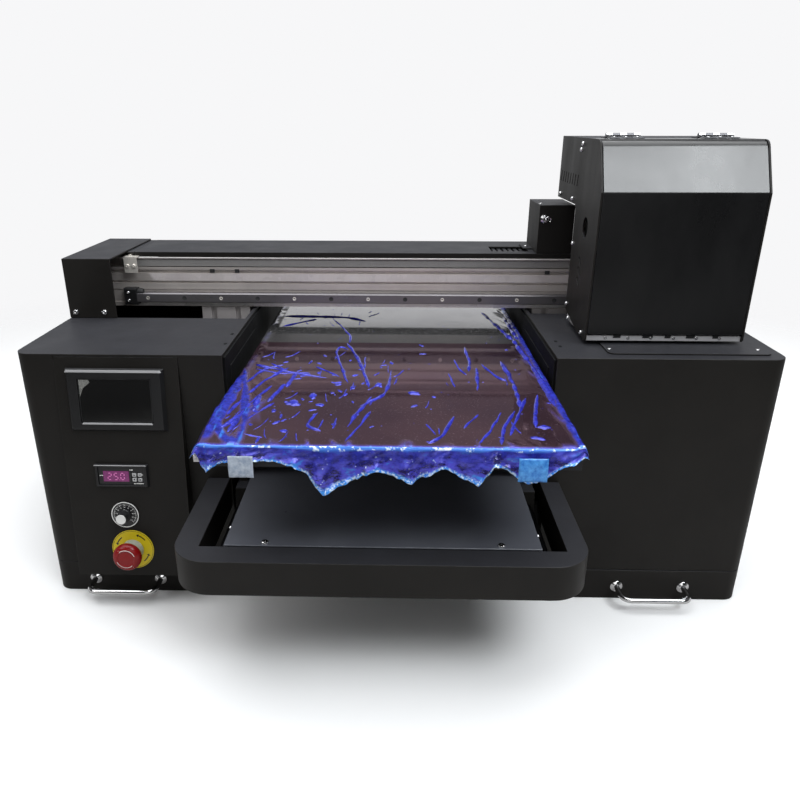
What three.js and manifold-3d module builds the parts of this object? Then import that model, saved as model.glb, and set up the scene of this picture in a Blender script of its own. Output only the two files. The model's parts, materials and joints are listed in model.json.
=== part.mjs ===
// Desktop flatbed UV printer: two cabinets joined by a base pan, a gantry beam over a travelling table,
// a print carriage with a lift-up front lid, and an operator console on the left cabinet.
// Millimetres. +X to the operator's right, +Y away from the operator, +Z up.
// Machine coordinates: x = 0 on the centre line, y = 0 on the cabinets' front plane, z = 0 on the worktop.
import * as THREE from 'three';
import { mergeVertices } from 'three/addons/utils/BufferGeometryUtils.js';
import Module from 'manifold-3d';

const wasm = await Module();
wasm.setup();

// ---------- driving dimensions ----------
const HALF_WIDTH = 511;          // half of the overall width
const BODY_DEPTH = 600;          // cabinets, front plane to rear plane
const FRONT_REACH = 208;         // the front tray stands this far in front of the cabinets
const REAR_REACH = 2;            // the mains inlet flange stands this far behind them
const CABINET_TOP = 375;
const SKIRT_TOP = 49.2;          // top of the base pan wall
const COVER_BOTTOM = 50.2;       // lower edge of the cabinet covers
const CORNER_R = 20;             // vertical outer corners of the cabinets
const SHEET = 2.5;               // sheet steel thickness of covers
const GAP = 0.3;                 // clearance between touching pieces

const LEFT_INNER = -230.7;       // inner side of the left cabinet
const RIGHT_INNER = 209.9;       // inner side of the right cabinet

const CONSOLE = { x0: -457.3, x1: -290.3, top: 371.5, proud: 32 };
const PANEL_TILT = Math.atan2(CONSOLE.proud, CABINET_TOP - COVER_BOTTOM);
const HMI = { x: -376, z: 312.9, w: 133, h: 88 };
const THERMOSTAT = { x: -379.5, z: 204.5, w: 75, h: 34 };
const KEY_X = [-361.9, -353.9];
const KEY_Z = [206.3, 199.1];
const DIAL = { x: -380.8, z: 145.6 };
const ESTOP = { x: -374.7, z: 91.7 };

const TRAY = { x0: -264, x1: 228.4, top: 194, bottom: 148, radius: 46 };
const TRAY_OPEN = { x0: -233, x1: 201.8, y0: -174.5 };

const BED = { x0: -226, x1: 196, y0: -173.5, y1: 540 };
const BED_COVER = { x0: -204.5, x1: 174, y0: -171.5, y1: 588 };
const BED_TOP = 152;             // upper face of the machined bed
const SCREW_Z = 163.5;           // axis height of the table feed screw
const SCREW_X = -15;
const RAIL_X = [-212, 182];      // table rails

const SADDLE = { y0: -12, y1: 208, z0: BED_TOP + 22.3, z1: BED_TOP + 32 };
const LEG_X = [[-222, -212], [183, 193]];   // plates that rise through the slots beside the bed cover

const TABLE = { x0: -211, x1: 198, y0: -206.4, y1: 403, top: 341.4, frame: 316 };
const LIFT_X = -6.5;             // lift screw axis
const LIFT_Y = 98;

const BEAM = { x0: -498, x1: 500, y0: 260, y1: 340, z0: 377, z1: 457 };
const REAR_TOP = { x0: -427, x1: 505, y0: 262, y1: 388, top: 465 };
const GANTRY_WELL = { y0: 189, y1: 384 };   // opening in the cabinet tops that the uprights pass through
const CHANNEL = { z0: 441, z1: 454.5, depth: 24 };
const X_RAIL_Z = 393.3;
const PULLEY_R = 8.5;
const PULLEY_Y = 272.3;
const PULLEY_X = [-440, 470];
const BELT_Z = [442.5, 453.5];

const CARRIAGE = { x0: 257.7, x1: 472.7, front: 58, bottom: 381, top: 640 };
const LID_AXIS_Y = 148;
const HINGE_X = [[279.5, 325.5], [403, 450]];
const HEAD = { x0: 332, x1: 398, y0: 82, y1: 152 };
const LAMP = { x0: 272, x1: 318, y0: 84, y1: 150 };

const CAP = { x0: 322, x1: 408, y0: 74, y1: 161 };      // opening over the capping station
const INLET = { x0: -430, x1: -370, z0: 95, z1: 145 };  // mains inlet on the rear of the left cabinet
const SWITCH_X = -385;
const SWITCH_Z = 120;

// ---------- helpers ----------
const group = new THREE.Group();
group.name = 'flatbed_uv_printer';
group.position.y = (FRONT_REACH - BODY_DEPTH - REAR_REACH) / 2;

const looks = {
  black: [0x17181a, 0.35, 0.55], blackSatin: [0x202226, 0.4, 0.45], aluminium: [0xb9bcc0, 0.9, 0.35],
  steel: [0x9a9ea3, 0.95, 0.3], chrome: [0xd9dde2, 1.0, 0.12], rubber: [0x141414, 0.0, 0.9],
  plastic: [0x1b1c1e, 0.0, 0.5], glass: [0x0c0e10, 0.0, 0.08], yellow: [0xe8d21c, 0.0, 0.45],
  red: [0xc01822, 0.0, 0.35], white: [0xd8dad6, 0.0, 0.5], film: [0x2b2fae, 0.0, 0.15],
  galvanised: [0xa6a9a6, 0.8, 0.5], ink: [0x2f3336, 0.0, 0.4],
};

function add(name, geometry, look, place = null) {
  const [color, metalness, roughness] = looks[look];
  const mesh = new THREE.Mesh(geometry, new THREE.MeshStandardMaterial({ color, metalness, roughness }));
  mesh.name = name;
  if (place) {
    mesh.position.copy(place.position);
    mesh.rotation.copy(place.rotation);
  }
  group.add(mesh);
}

function solid(geometry) {
  const bare = geometry.clone();
  bare.deleteAttribute('normal');
  bare.deleteAttribute('uv');
  const merged = mergeVertices(bare, 1e-4);
  return new wasm.Manifold(new wasm.Mesh({
    numProp: 3,
    vertProperties: new Float32Array(merged.attributes.position.array),
    triVerts: new Uint32Array(merged.index.array),
  }));
}

function geometryOf(manifold) {
  const mesh = manifold.getMesh();
  const geometry = new THREE.BufferGeometry();
  geometry.setAttribute('position', new THREE.BufferAttribute(new Float32Array(mesh.vertProperties), 3));
  geometry.setIndex(new THREE.BufferAttribute(new Uint32Array(mesh.triVerts), 1));
  const flat = geometry.toNonIndexed();
  flat.computeVertexNormals();
  return flat;
}

function join(first, ...rest) {
  return geometryOf(rest.reduce((sum, g) => sum.add(solid(g)), solid(first)));
}

function cut(base, ...tools) {
  return geometryOf(tools.reduce((sum, g) => sum.subtract(solid(g)), solid(base)));
}

function block(x0, x1, y0, y1, z0, z1) {
  return new THREE.BoxGeometry(x1 - x0, y1 - y0, z1 - z0)
    .translate((x0 + x1) / 2, (y0 + y1) / 2, (z0 + z1) / 2);
}

// Cylinder along 'x', 'y' or 'z', starting at the given point.
function rod(axis, x, y, z, radius, length, sides = 28) {
  const g = new THREE.CylinderGeometry(radius, radius, length, sides).translate(0, length / 2, 0);
  if (axis === 'x') g.rotateZ(-Math.PI / 2);
  if (axis === 'z') g.rotateX(Math.PI / 2);
  return g.translate(x, y, z);
}

// Solid of revolution about +z from (radius, z) points.
function turned(points, sides) {
  return new THREE.LatheGeometry(points.map(([r, z]) => new THREE.Vector2(r, z)), sides).rotateX(Math.PI / 2);
}

function polygon(points) {
  return new THREE.Shape(points.map(([a, b]) => new THREE.Vector2(a, b)));
}

// Profile in (x, y), thickness along z.
function extrudeZ(shape, z0, z1, curveSegments = 6) {
  return new THREE.ExtrudeGeometry(shape, { depth: z1 - z0, bevelEnabled: false, curveSegments })
    .translate(0, 0, z0);
}

// Profile in (y, z), length along x.
function extrudeX(shape, x0, x1, curveSegments = 6) {
  const g = new THREE.ExtrudeGeometry(shape, { depth: x1 - x0, bevelEnabled: false, curveSegments });
  const turn = new THREE.Matrix4().makeBasis(
    new THREE.Vector3(0, 1, 0), new THREE.Vector3(0, 0, 1), new THREE.Vector3(1, 0, 0));
  return g.applyMatrix4(turn).translate(x0, 0, 0);
}

// Rectangle in (x, y); each corner has its own radius: front-left, front-right, back-right, back-left.
function roundedRect(x0, x1, y0, y1, [fl, fr, br, bl]) {
  const s = new THREE.Shape();
  s.moveTo(x0 + fl, y0);
  s.lineTo(x1 - fr, y0);
  if (fr) s.absarc(x1 - fr, y0 + fr, fr, -Math.PI / 2, 0, false);
  s.lineTo(x1, y1 - br);
  if (br) s.absarc(x1 - br, y1 - br, br, 0, Math.PI / 2, false);
  s.lineTo(x0 + bl, y1);
  if (bl) s.absarc(x0 + bl, y1 - bl, bl, Math.PI / 2, Math.PI, false);
  s.lineTo(x0, y0 + fl);
  if (fl) s.absarc(x0 + fl, y0 + fl, fl, Math.PI, Math.PI * 1.5, false);
  return s;
}

// ---------- base and cabinets ----------
function basePan() {
  const plan = (inset) => roundedRect(-HALF_WIDTH + inset, HALF_WIDTH - inset, inset, BODY_DEPTH - inset,
    Array(4).fill(CORNER_R - inset));
  const outer = extrudeZ(plan(0), 0, SKIRT_TOP);
  const inner = extrudeZ(plan(SHEET), 3, SKIRT_TOP + 1);
  add('base_pan', cut(outer, inner), 'black');
}

// Open-bottomed folded cover; radii are the outer corners of its plan.
function coverShell(x0, x1, radii, openings) {
  const inset = radii.map((r) => (r ? r - SHEET : 0));
  const outer = extrudeZ(roundedRect(x0, x1, 0, BODY_DEPTH, radii), COVER_BOTTOM, CABINET_TOP);
  const inner = extrudeZ(roundedRect(x0 + SHEET, x1 - SHEET, SHEET, BODY_DEPTH - SHEET, inset),
    COVER_BOTTOM - 1, CABINET_TOP - SHEET);
  return cut(outer, inner, ...openings);
}

function cabinets() {
  add('left_cover', coverShell(-HALF_WIDTH, LEFT_INNER, [CORNER_R, 0, 0, CORNER_R], [
    block(CONSOLE.x0 - 0.5, CONSOLE.x1 + 0.5, -1, SHEET + 1, COVER_BOTTOM - 1, CONSOLE.top + 0.5),
    block(-500, LEFT_INNER - SHEET - 3, GANTRY_WELL.y0, GANTRY_WELL.y1, 360, 380),
    block(INLET.x0 + 6, INLET.x1 - 6, 590, 610, INLET.z0 + 6, INLET.z1 - 6),
  ]), 'black');
  add('right_cover', coverShell(RIGHT_INNER, HALF_WIDTH, [0, CORNER_R, CORNER_R, 0], [
    block(RIGHT_INNER + SHEET + 3, 506, GANTRY_WELL.y0 + 45, GANTRY_WELL.y1, 360, 380),
    block(CAP.x0 - 6, CAP.x1 + 6, CAP.y0 - 6, CAP.y1 + 6, 360, 380),
  ]), 'black');
}

function serviceHatch() {
  const plate = extrudeZ(roundedRect(281, 496, 17, 176, [9, 9, 9, 9]), CABINET_TOP + GAP, CABINET_TOP + 2);
  add('service_hatch', cut(plate, block(CAP.x0, CAP.x1, CAP.y0, CAP.y1, 370, 380)), 'black');
}

function tunnelGuards() {
  const guard = (wall, inward) => {
    const between = (from, to, ...rest) => block(Math.min(from, to), Math.max(from, to), ...rest);
    const face = wall + inward * 3;
    const sheet = between(wall, face, 4, BODY_DEPTH - 4, 197, 371);
    return join(sheet, between(face - inward * 0.1, face + inward * 1.2, 30, 236, 312, 352));
  };
  add('left_guard', guard(LEFT_INNER + GAP, 1), 'black');
  add('right_guard', guard(RIGHT_INNER - GAP, -1), 'black');
}

// ---------- operator console ----------
function panelPlace(x, z) {
  const y = -CONSOLE.proud * (CABINET_TOP - z) / (CABINET_TOP - COVER_BOTTOM);
  return { position: new THREE.Vector3(x, y, z), rotation: new THREE.Euler(Math.PI / 2 - PANEL_TILT, 0, 0) };
}

// Moves a geometry from panel coordinates (x right, y up the slope, z out of the panel) into place.
function onPanel(geometry, x, z) {
  const { position, rotation } = panelPlace(x, z);
  return geometry.applyMatrix4(new THREE.Matrix4().makeRotationFromEuler(rotation).setPosition(position));
}

function controlConsole() {
  const faceAt = (z) => -CONSOLE.proud * (CABINET_TOP - z) / (CABINET_TOP - COVER_BOTTOM);
  const { x0, x1, top } = CONSOLE;
  const back = SHEET + 0.3;
  const outer = extrudeX(polygon([[back, COVER_BOTTOM], [back, top], [faceAt(top), top],
    [faceAt(COVER_BOTTOM), COVER_BOTTOM]]), x0, x1);
  const floor = COVER_BOTTOM + SHEET;
  const ceiling = top - 3;
  const inner = extrudeX(polygon([[back + 2, floor], [back + 2, ceiling], [faceAt(ceiling) + 2.6, ceiling],
    [faceAt(floor) + 2.6, floor]]), x0 + SHEET, x1 - SHEET);
  const box = (w, h) => block(-w / 2, w / 2, -h / 2, h / 2, -30, 10);
  add('control_console', cut(outer, inner,
    onPanel(box(121, 77), HMI.x, HMI.z),
    onPanel(box(71, 29.5), THERMOSTAT.x, THERMOSTAT.z),
    onPanel(rod('z', 0, 0, -30, 5, 40, 20), DIAL.x, DIAL.z),
    onPanel(rod('z', 0, 0, -30, 11.5, 40, 24), ESTOP.x, ESTOP.z)), 'black');
}

// Picture-frame bezel with sloping faces round a rectangular window, and the case behind the panel.
function bezel(w, h, rise, slope, windowW, windowH, caseW, caseH, caseDepth) {
  const half = (a) => a / 2;
  const lower = [[-half(w), -half(h)], [half(w), -half(h)], [half(w), half(h)], [-half(w), half(h)]];
  const upper = lower.map(([x, y]) => [x - Math.sign(x) * slope, y - Math.sign(y) * slope]);
  const body = frustum(lower, upper, GAP, rise);
  const rear = block(-caseW / 2, caseW / 2, -caseH / 2, caseH / 2, -caseDepth, GAP + 0.5);
  const pocket = block(-windowW / 2, windowW / 2, -windowH / 2, windowH / 2, rise - 3, rise + 5);
  return cut(join(body, rear), pocket);
}

// Closed four-sided block between a lower and an upper rectangle.
function frustum(lower, upper, z0, z1) {
  const v = [...lower.map(([x, y]) => [x, y, z0]), ...upper.map(([x, y]) => [x, y, z1])];
  const quads = [[3, 2, 1, 0], [4, 5, 6, 7], [0, 1, 5, 4], [1, 2, 6, 5], [2, 3, 7, 6], [3, 0, 4, 7]];
  const g = new THREE.BufferGeometry();
  g.setAttribute('position', new THREE.BufferAttribute(new Float32Array(v.flat()), 3));
  g.setIndex(quads.flatMap(([a, b, c, d]) => [a, b, c, a, c, d]));
  g.computeVertexNormals();
  return g;
}

function consoleParts() {
  const hmi = panelPlace(HMI.x, HMI.z);
  add('hmi_bezel', bezel(HMI.w, HMI.h, 7, 4, 99, 62, 119, 75, 26), 'plastic', hmi);
  add('hmi_screen', block(-49.2, 49.2, -30.7, 30.7, 4 + GAP, 5.4), 'glass', hmi);

  const thermostat = panelPlace(THERMOSTAT.x, THERMOSTAT.z);
  const keyHoles = [];
  KEY_X.forEach((kx) => KEY_Z.forEach((kz) => {
    keyHoles.push(block(-3.1, 3.1, -2.8, 2.8, -2, 8).translate(kx - THERMOSTAT.x, kz - THERMOSTAT.z, 0));
  }));
  add('thermostat_body', cut(bezel(THERMOSTAT.w, THERMOSTAT.h, 5, 2, 65, 26, 69, 27.5, 58), ...keyHoles),
    'plastic', thermostat);
  KEY_X.forEach((kx, i) => KEY_Z.forEach((kz, j) => {
    const key = block(-2.7, 2.7, -2.4, 2.4, 0, 3.4);
    add(`thermostat_key_${i * 2 + j + 1}`, key, 'white', panelPlace(kx, kz));
  }));

  const dial = panelPlace(DIAL.x, DIAL.z);
  add('dial_plate', cut(rod('z', 0, 0, GAP, 19.5, 1.6, 36), rod('z', 0, 0, -5, 5, 12, 20)), 'plastic', dial);
  const spindle = rod('z', 0, 0, -14, 3, 17, 16);
  add('dial_knob', join(rod('z', 0, 0, 2.2, 9, 4), rod('z', 0, 0, 6.1, 8, 13), spindle), 'white', dial);

  const estop = panelPlace(ESTOP.x, ESTOP.z);
  const label = rod('z', 0, 0, GAP, 30, 0.9, 44);
  add('estop_label', cut(label, rod('z', 0, 0, -5, 11.6, 12, 24)), 'yellow', estop);
  add('estop_collar', turned([[8.2, -34], [11, -34], [11, 1.5], [15.5, 1.5], [15.5, 4], [13.5, 12],
    [8.2, 12], [8.2, -34]], 28), 'white', estop);
  add('estop_plunger', cut(rod('z', 0, 0, -30, 7.8, 47, 24), rod('z', 0, 0, 2, 5, 20, 20)), 'plastic', estop);
  add('estop_head', turned([[0, 3], [4.7, 3], [4.7, 18], [17, 18], [20, 21.5], [20, 26], [17.5, 30],
    [11, 32], [0, 32.6]], 36), 'red', estop);
}

// ---------- front tray and bed ----------
// U-shaped plan, open to the rear; inset shrinks the band from both sides.
function trayShape(inset) {
  const r = TRAY.radius - inset;
  const [x0, x1, y0] = [TRAY.x0 + inset, TRAY.x1 - inset, -FRONT_REACH + inset];
  const [ix0, ix1, iy0] = [TRAY_OPEN.x0 - inset, TRAY_OPEN.x1 + inset, TRAY_OPEN.y0 - inset];
  const back = -0.5 - inset;
  const s = new THREE.Shape();
  s.moveTo(x0, back);
  s.lineTo(x0, y0 + r);
  s.absarc(x0 + r, y0 + r, r, Math.PI, Math.PI * 1.5, false);
  s.lineTo(x1 - r, y0);
  s.absarc(x1 - r, y0 + r, r, -Math.PI / 2, 0, false);
  s.lineTo(x1, back);
  s.lineTo(ix1, back);
  s.lineTo(ix1, iy0);
  s.lineTo(ix0, iy0);
  s.lineTo(ix0, back);
  return s;
}

function frontTray() {
  const outer = extrudeZ(trayShape(0), TRAY.bottom, TRAY.top, 8);
  const hollow = extrudeZ(trayShape(SHEET), TRAY.bottom - 1, TRAY.top - SHEET, 8);
  add('front_tray', cut(outer, hollow), 'black');
}

function bed() {
  const crossbar = (y0, y1) => block(-200, 170, y0, y1, BED_TOP - 1, TRAY.top - 2 - GAP);
  const web = (x0) => block(x0, x0 + 12, 12, 532, 3 + GAP, BED_TOP - 11);
  const wall = (y0) => block(LEFT_INNER + 1, RIGHT_INNER - 1, y0, y0 + 10, 3 + GAP, BED_TOP - 2);
  add('bed_frame', cut(join(block(BED.x0, BED.x1, BED.y0, BED.y1, BED_TOP - 12, BED_TOP),
    crossbar(BED.y0, BED.y0 + 10), crossbar(BED.y1 - 8, BED.y1), web(-206), web(164), wall(12), wall(522)),
  rod('y', SCREW_X, BED.y1 - 20, SCREW_Z, 9, 40)), 'galvanised');

  const { x0, x1, y0, y1 } = BED_COVER;
  add('bed_cover', cut(block(x0, x1, y0, y1, TRAY.top - 9, TRAY.top),
    block(x0 + 2, x1 - 2, y0 - 1, y1 + 1, TRAY.top - 10, TRAY.top - 2)), 'black');

  RAIL_X.forEach((x, i) => {
    add(i ? 'y_rail_right' : 'y_rail_left',
      block(x - 7.5, x + 7.5, BED.y0 + 11, BED.y1 - 9, BED_TOP + GAP, BED_TOP + 10), 'steel');
  });
  add('y_screw', rod('y', SCREW_X, BED.y0 + 11, SCREW_Z, 7.5, BED.y1 - BED.y0 - 11.5, 24), 'steel');
  add('y_motor', motor('y', SCREW_X, BED.y1 + GAP, SCREW_Z, 47), 'plastic');
}

// Square stepping motor: flange, body with cut corners. Starts at the given face centre.
function motor(axis, x, y, z, length) {
  const corner = 23.5;
  const s = polygon([[-28, -corner], [-corner, -28], [corner, -28], [28, -corner], [28, corner], [corner, 28],
    [-corner, 28], [-28, corner]]);
  const body = extrudeZ(s, 0, length);
  if (axis === 'y') body.rotateX(-Math.PI / 2);
  if (axis === '-z') body.rotateX(Math.PI);
  return body.translate(x, y, z);
}

// ---------- travelling table ----------

function tableCarriage() {
  const parts = [block(-224, 194, SADDLE.y0, SADDLE.y1, SADDLE.z0, SADDLE.z1)];
  const bearing = 13;
  RAIL_X.forEach((x) => {
    [SADDLE.y0, SADDLE.y1 - 60].forEach((y) => {
      parts.push(block(x - bearing, x + bearing, y, y + 60, BED_TOP + 1, SADDLE.z0 + 1));
    });
  });
  parts.push(block(SCREW_X - 20, SCREW_X + 20, 70, 120, BED_TOP + 1, SADDLE.z0 + 1));
  LEG_X.forEach(([a, b]) => parts.push(block(a, b, 10, 186, SADDLE.z1 - 1, 206)));
  const rails = RAIL_X.map((x) => block(x - 8, x + 8, SADDLE.y0 - 5, SADDLE.y1 + 5, BED_TOP, BED_TOP + 10.5));
  add('y_saddle', cut(join(...parts), ...rails, rod('y', SCREW_X, 60, SCREW_Z, 7.8, 80, 24)), 'aluminium');

  const base = { z0: 206.3, z1: 274 };
  add('lift_base', cut(block(-222, 193, 8, 188, base.z0, base.z1),
    block(-219, 190, 11, 185, base.z0 + 3, base.z1 + 1)), 'black');
  add('lift_screw', rod('z', LIFT_X, LIFT_Y, base.z0 + 3 + GAP, 8, 86, 24), 'steel');

  const { x0, x1, y0, y1, top, frame } = TABLE;
  const column = block(LIFT_X - 32, LIFT_X + 32, LIFT_Y - 32, LIFT_Y + 32, 251, frame + 2);
  const ribs = [40, 150].map((y) => block(x0 + 5, x1 - 5, y, y + 8, frame, top - 3));
  add('table_plate', cut(join(cut(block(x0, x1, y0, y1, frame, top),
    block(x0 + 12, x1 - 12, y0 + 12, y1 - 12, frame - 1, top - 5)), ...ribs,
  block(LIFT_X - 32, LIFT_X + 32, 40, 158, frame, top - 4), column),
  rod('z', LIFT_X, LIFT_Y, 240, 8.3, top - 4 - 240, 24)), 'aluminium');

  const t = 0.6;
  const [apronY, filmZ, hem] = [y0 - GAP, top + GAP, top - 22];
  const fold = polygon([[apronY - t, hem], [apronY, hem], [apronY, filmZ], [y1, filmZ], [y1, filmZ + t],
    [apronY - t, filmZ + t]]);
  add('protective_film', extrudeX(fold, x0 - 0.5, x1 + 0.5), 'film');
}

// ---------- gantry ----------
function gantry() {
  const { x0, x1, y0, y1, z0, z1 } = BEAM;
  const upright = (ux) => {
    const post = block(ux, ux + 80, 258, 338, 3 + GAP, z0 - GAP);
    const slots = [];
    [20, 60].forEach((d) => {
      slots.push(block(ux + d - 4, ux + d + 4, 250, 264, 0, z0 + 1));
      slots.push(block(ux + d - 4, ux + d + 4, 332, 350, 0, z0 + 1));
    });
    return cut(post, ...slots);
  };
  add('upright_left', upright(-322), 'aluminium');
  add('upright_right', upright(222), 'aluminium');

  const profile = polygon([[y1, z0], [y1, z1], [y0, z1], [y0, CHANNEL.z1], [y0 + CHANNEL.depth, CHANNEL.z1],
    [y0 + CHANNEL.depth, CHANNEL.z0], [y0, CHANNEL.z0], [y0, 437], [y0 + 5, 436], [y0 + 5, 432.5],
    [y0, 431.5], [y0, 419], [y0 + 4, 418], [y0 + 4, 416], [y0, 415], [y0, 405], [y0 + 2, 403.5],
    [y0 + 2, 384], [y0, 383], [y0, z0]]);
  profile.holes.push(new THREE.Path([[y0 + 14, z0 + 12], [y1 - 8, z0 + 12], [y1 - 8, CHANNEL.z0 - 8],
    [y0 + 14, CHANNEL.z0 - 8]].map(([a, b]) => new THREE.Vector2(a, b))));
  const shaft = rod('z', PULLEY_X[1], PULLEY_Y, z0 - 5, 6, 90, 20);
  add('x_beam', cut(extrudeX(profile, x0, x1), shaft), 'aluminium');

  const [r0, r1] = [X_RAIL_Z - 7.3, X_RAIL_Z + 7.3];
  const [f, b] = [y0 - 14, y0 + 1.5];
  const rail = polygon([[b, r0], [b, r1], [f + 6, r1], [f + 4.5, r1 - 2], [f + 2.5, r1 - 2], [f + 1, r1],
    [f, r1 - 1], [f, r0 + 1], [f + 1, r0], [f + 2.5, r0 + 2], [f + 4.5, r0 + 2], [f + 6, r0]]);
  add('x_rail', extrudeX(rail, -430, 497), 'steel');

  const loop = (r) => {
    const s = new THREE.Shape();
    s.moveTo(PULLEY_X[0], PULLEY_Y - r);
    s.lineTo(PULLEY_X[1], PULLEY_Y - r);
    s.absarc(PULLEY_X[1], PULLEY_Y, r, -Math.PI / 2, Math.PI / 2, false);
    s.lineTo(PULLEY_X[0], PULLEY_Y + r);
    s.absarc(PULLEY_X[0], PULLEY_Y, r, Math.PI / 2, Math.PI * 1.5, false);
    return s;
  };
  const belt = loop(PULLEY_R + 1.9);
  belt.holes.push(loop(PULLEY_R + GAP));
  add('x_belt', extrudeZ(belt, BELT_Z[0], BELT_Z[1], 10), 'rubber');
  const wheel = (x) => rod('z', x, PULLEY_Y, BELT_Z[0], PULLEY_R, BELT_Z[1] - BELT_Z[0], 24);
  const [idler, drive] = PULLEY_X.map(wheel);
  add('idler_pulley', idler, 'aluminium');
  add('drive_pulley', join(drive, rod('z', PULLEY_X[1], PULLEY_Y, z0 + 1, 4, 70, 20)), 'aluminium');
  add('x_motor', motor('-z', PULLEY_X[1], PULLEY_Y, z0 - GAP, 56), 'plastic');
}

function gantryCovers() {
  const end = { x0: -HALF_WIDTH, x1: -436.8, y0: 185, y1: 386, z0: CABINET_TOP + GAP, z1: 467.5 };
  add('gantry_end_cover', cut(block(end.x0, end.x1, end.y0, end.y1, end.z0, end.z1),
    block(end.x0 + SHEET, end.x1 + 1, end.y0 + SHEET, end.y1 - SHEET, end.z0 - 1, end.z1 - SHEET)), 'black');

  const { x0, x1, y0, y1, top } = REAR_TOP;
  const skin = cut(block(x0, x1, y0, y1, CABINET_TOP + 2, top),
    block(x0 - 1, x1 - SHEET, y0 - 1, y1 - SHEET, CABINET_TOP, top - SHEET),
    block(x1 - SHEET - 1, x1 + 1, y0 - 1, y0 + 2, CABINET_TOP, top - SHEET),
    block(154, 214, 285, 331, top - 5, top + 5));
  add('rear_top_cover', join(skin, block(x0, x1, y0, y0 + 2, BEAM.z1 + 1, top - 1)), 'black');

  const box = { x0: 222, x1: 277, y0: 262.5, y1: 356, z0: top + GAP, z1: 540 };
  add('chain_box', cut(join(block(box.x0, box.x1, box.y0, box.y1, box.z0, box.z1),
    block(box.x0 - 14, box.x0 + 1, box.y0 + 40, box.y1 - 8, box.z0, box.z0 + 2)),
  block(box.x0 + 2, box.x1 - 2, box.y0 + 2, box.y1 - 2, box.z0 - 1, box.z1 - 2)), 'black');
}

// ---------- print carriage ----------
// Outline of a carriage side plate in (y, z): chamfered nose, deep lower part, overhang to the rear.
function sidePlateShape() {
  const { front, bottom, top } = CARRIAGE;
  const s = new THREE.Shape();
  s.moveTo(front + 3, bottom);
  s.lineTo(105, bottom);
  s.lineTo(184, bottom + 15);
  s.lineTo(184, 544);
  s.lineTo(190, 549);
  s.lineTo(307, 549);
  s.lineTo(307, top);
  s.lineTo(101, top);
  s.quadraticCurveTo(90, top, 86, top - 9);
  s.lineTo(front, 577);
  s.lineTo(front, bottom + 3);
  return s;
}

function sidePlate(x) {
  const shape = sidePlateShape();
  const hole = new THREE.Path();
  hole.absarc(119, 525.6, 14, 0, Math.PI * 2, true);
  shape.holes.push(hole);
  for (let i = 0; i < 8; i += 1) shape.holes.push(slot(188 + i * 15, 582, 3.2, 16, 0.2));
  for (let i = 0; i < 3; i += 1) shape.holes.push(slot(128, 449 + i * 14, 4, 17, -0.9));
  return extrudeX(shape, x, x + SHEET, 5);
}

// Slanted rectangular slot centred on (y, z).
function slot(y, z, width, length, lean) {
  const [c, s] = [Math.cos(lean), Math.sin(lean)];
  const corners = [[-1, -1], [-1, 1], [1, 1], [1, -1]].map(([a, b]) => [a * width / 2, b * length / 2]);
  return new THREE.Path(corners.map(([a, b]) => new THREE.Vector2(y + a * c - b * s, z + a * s + b * c)));
}

// Constant-thickness bent sheet: outer and inner polylines in (y, z).
function bentSheet(outer, inner, x0, x1) {
  return extrudeX(polygon([...outer, ...inner.slice().reverse()]), x0, x1);
}

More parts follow.
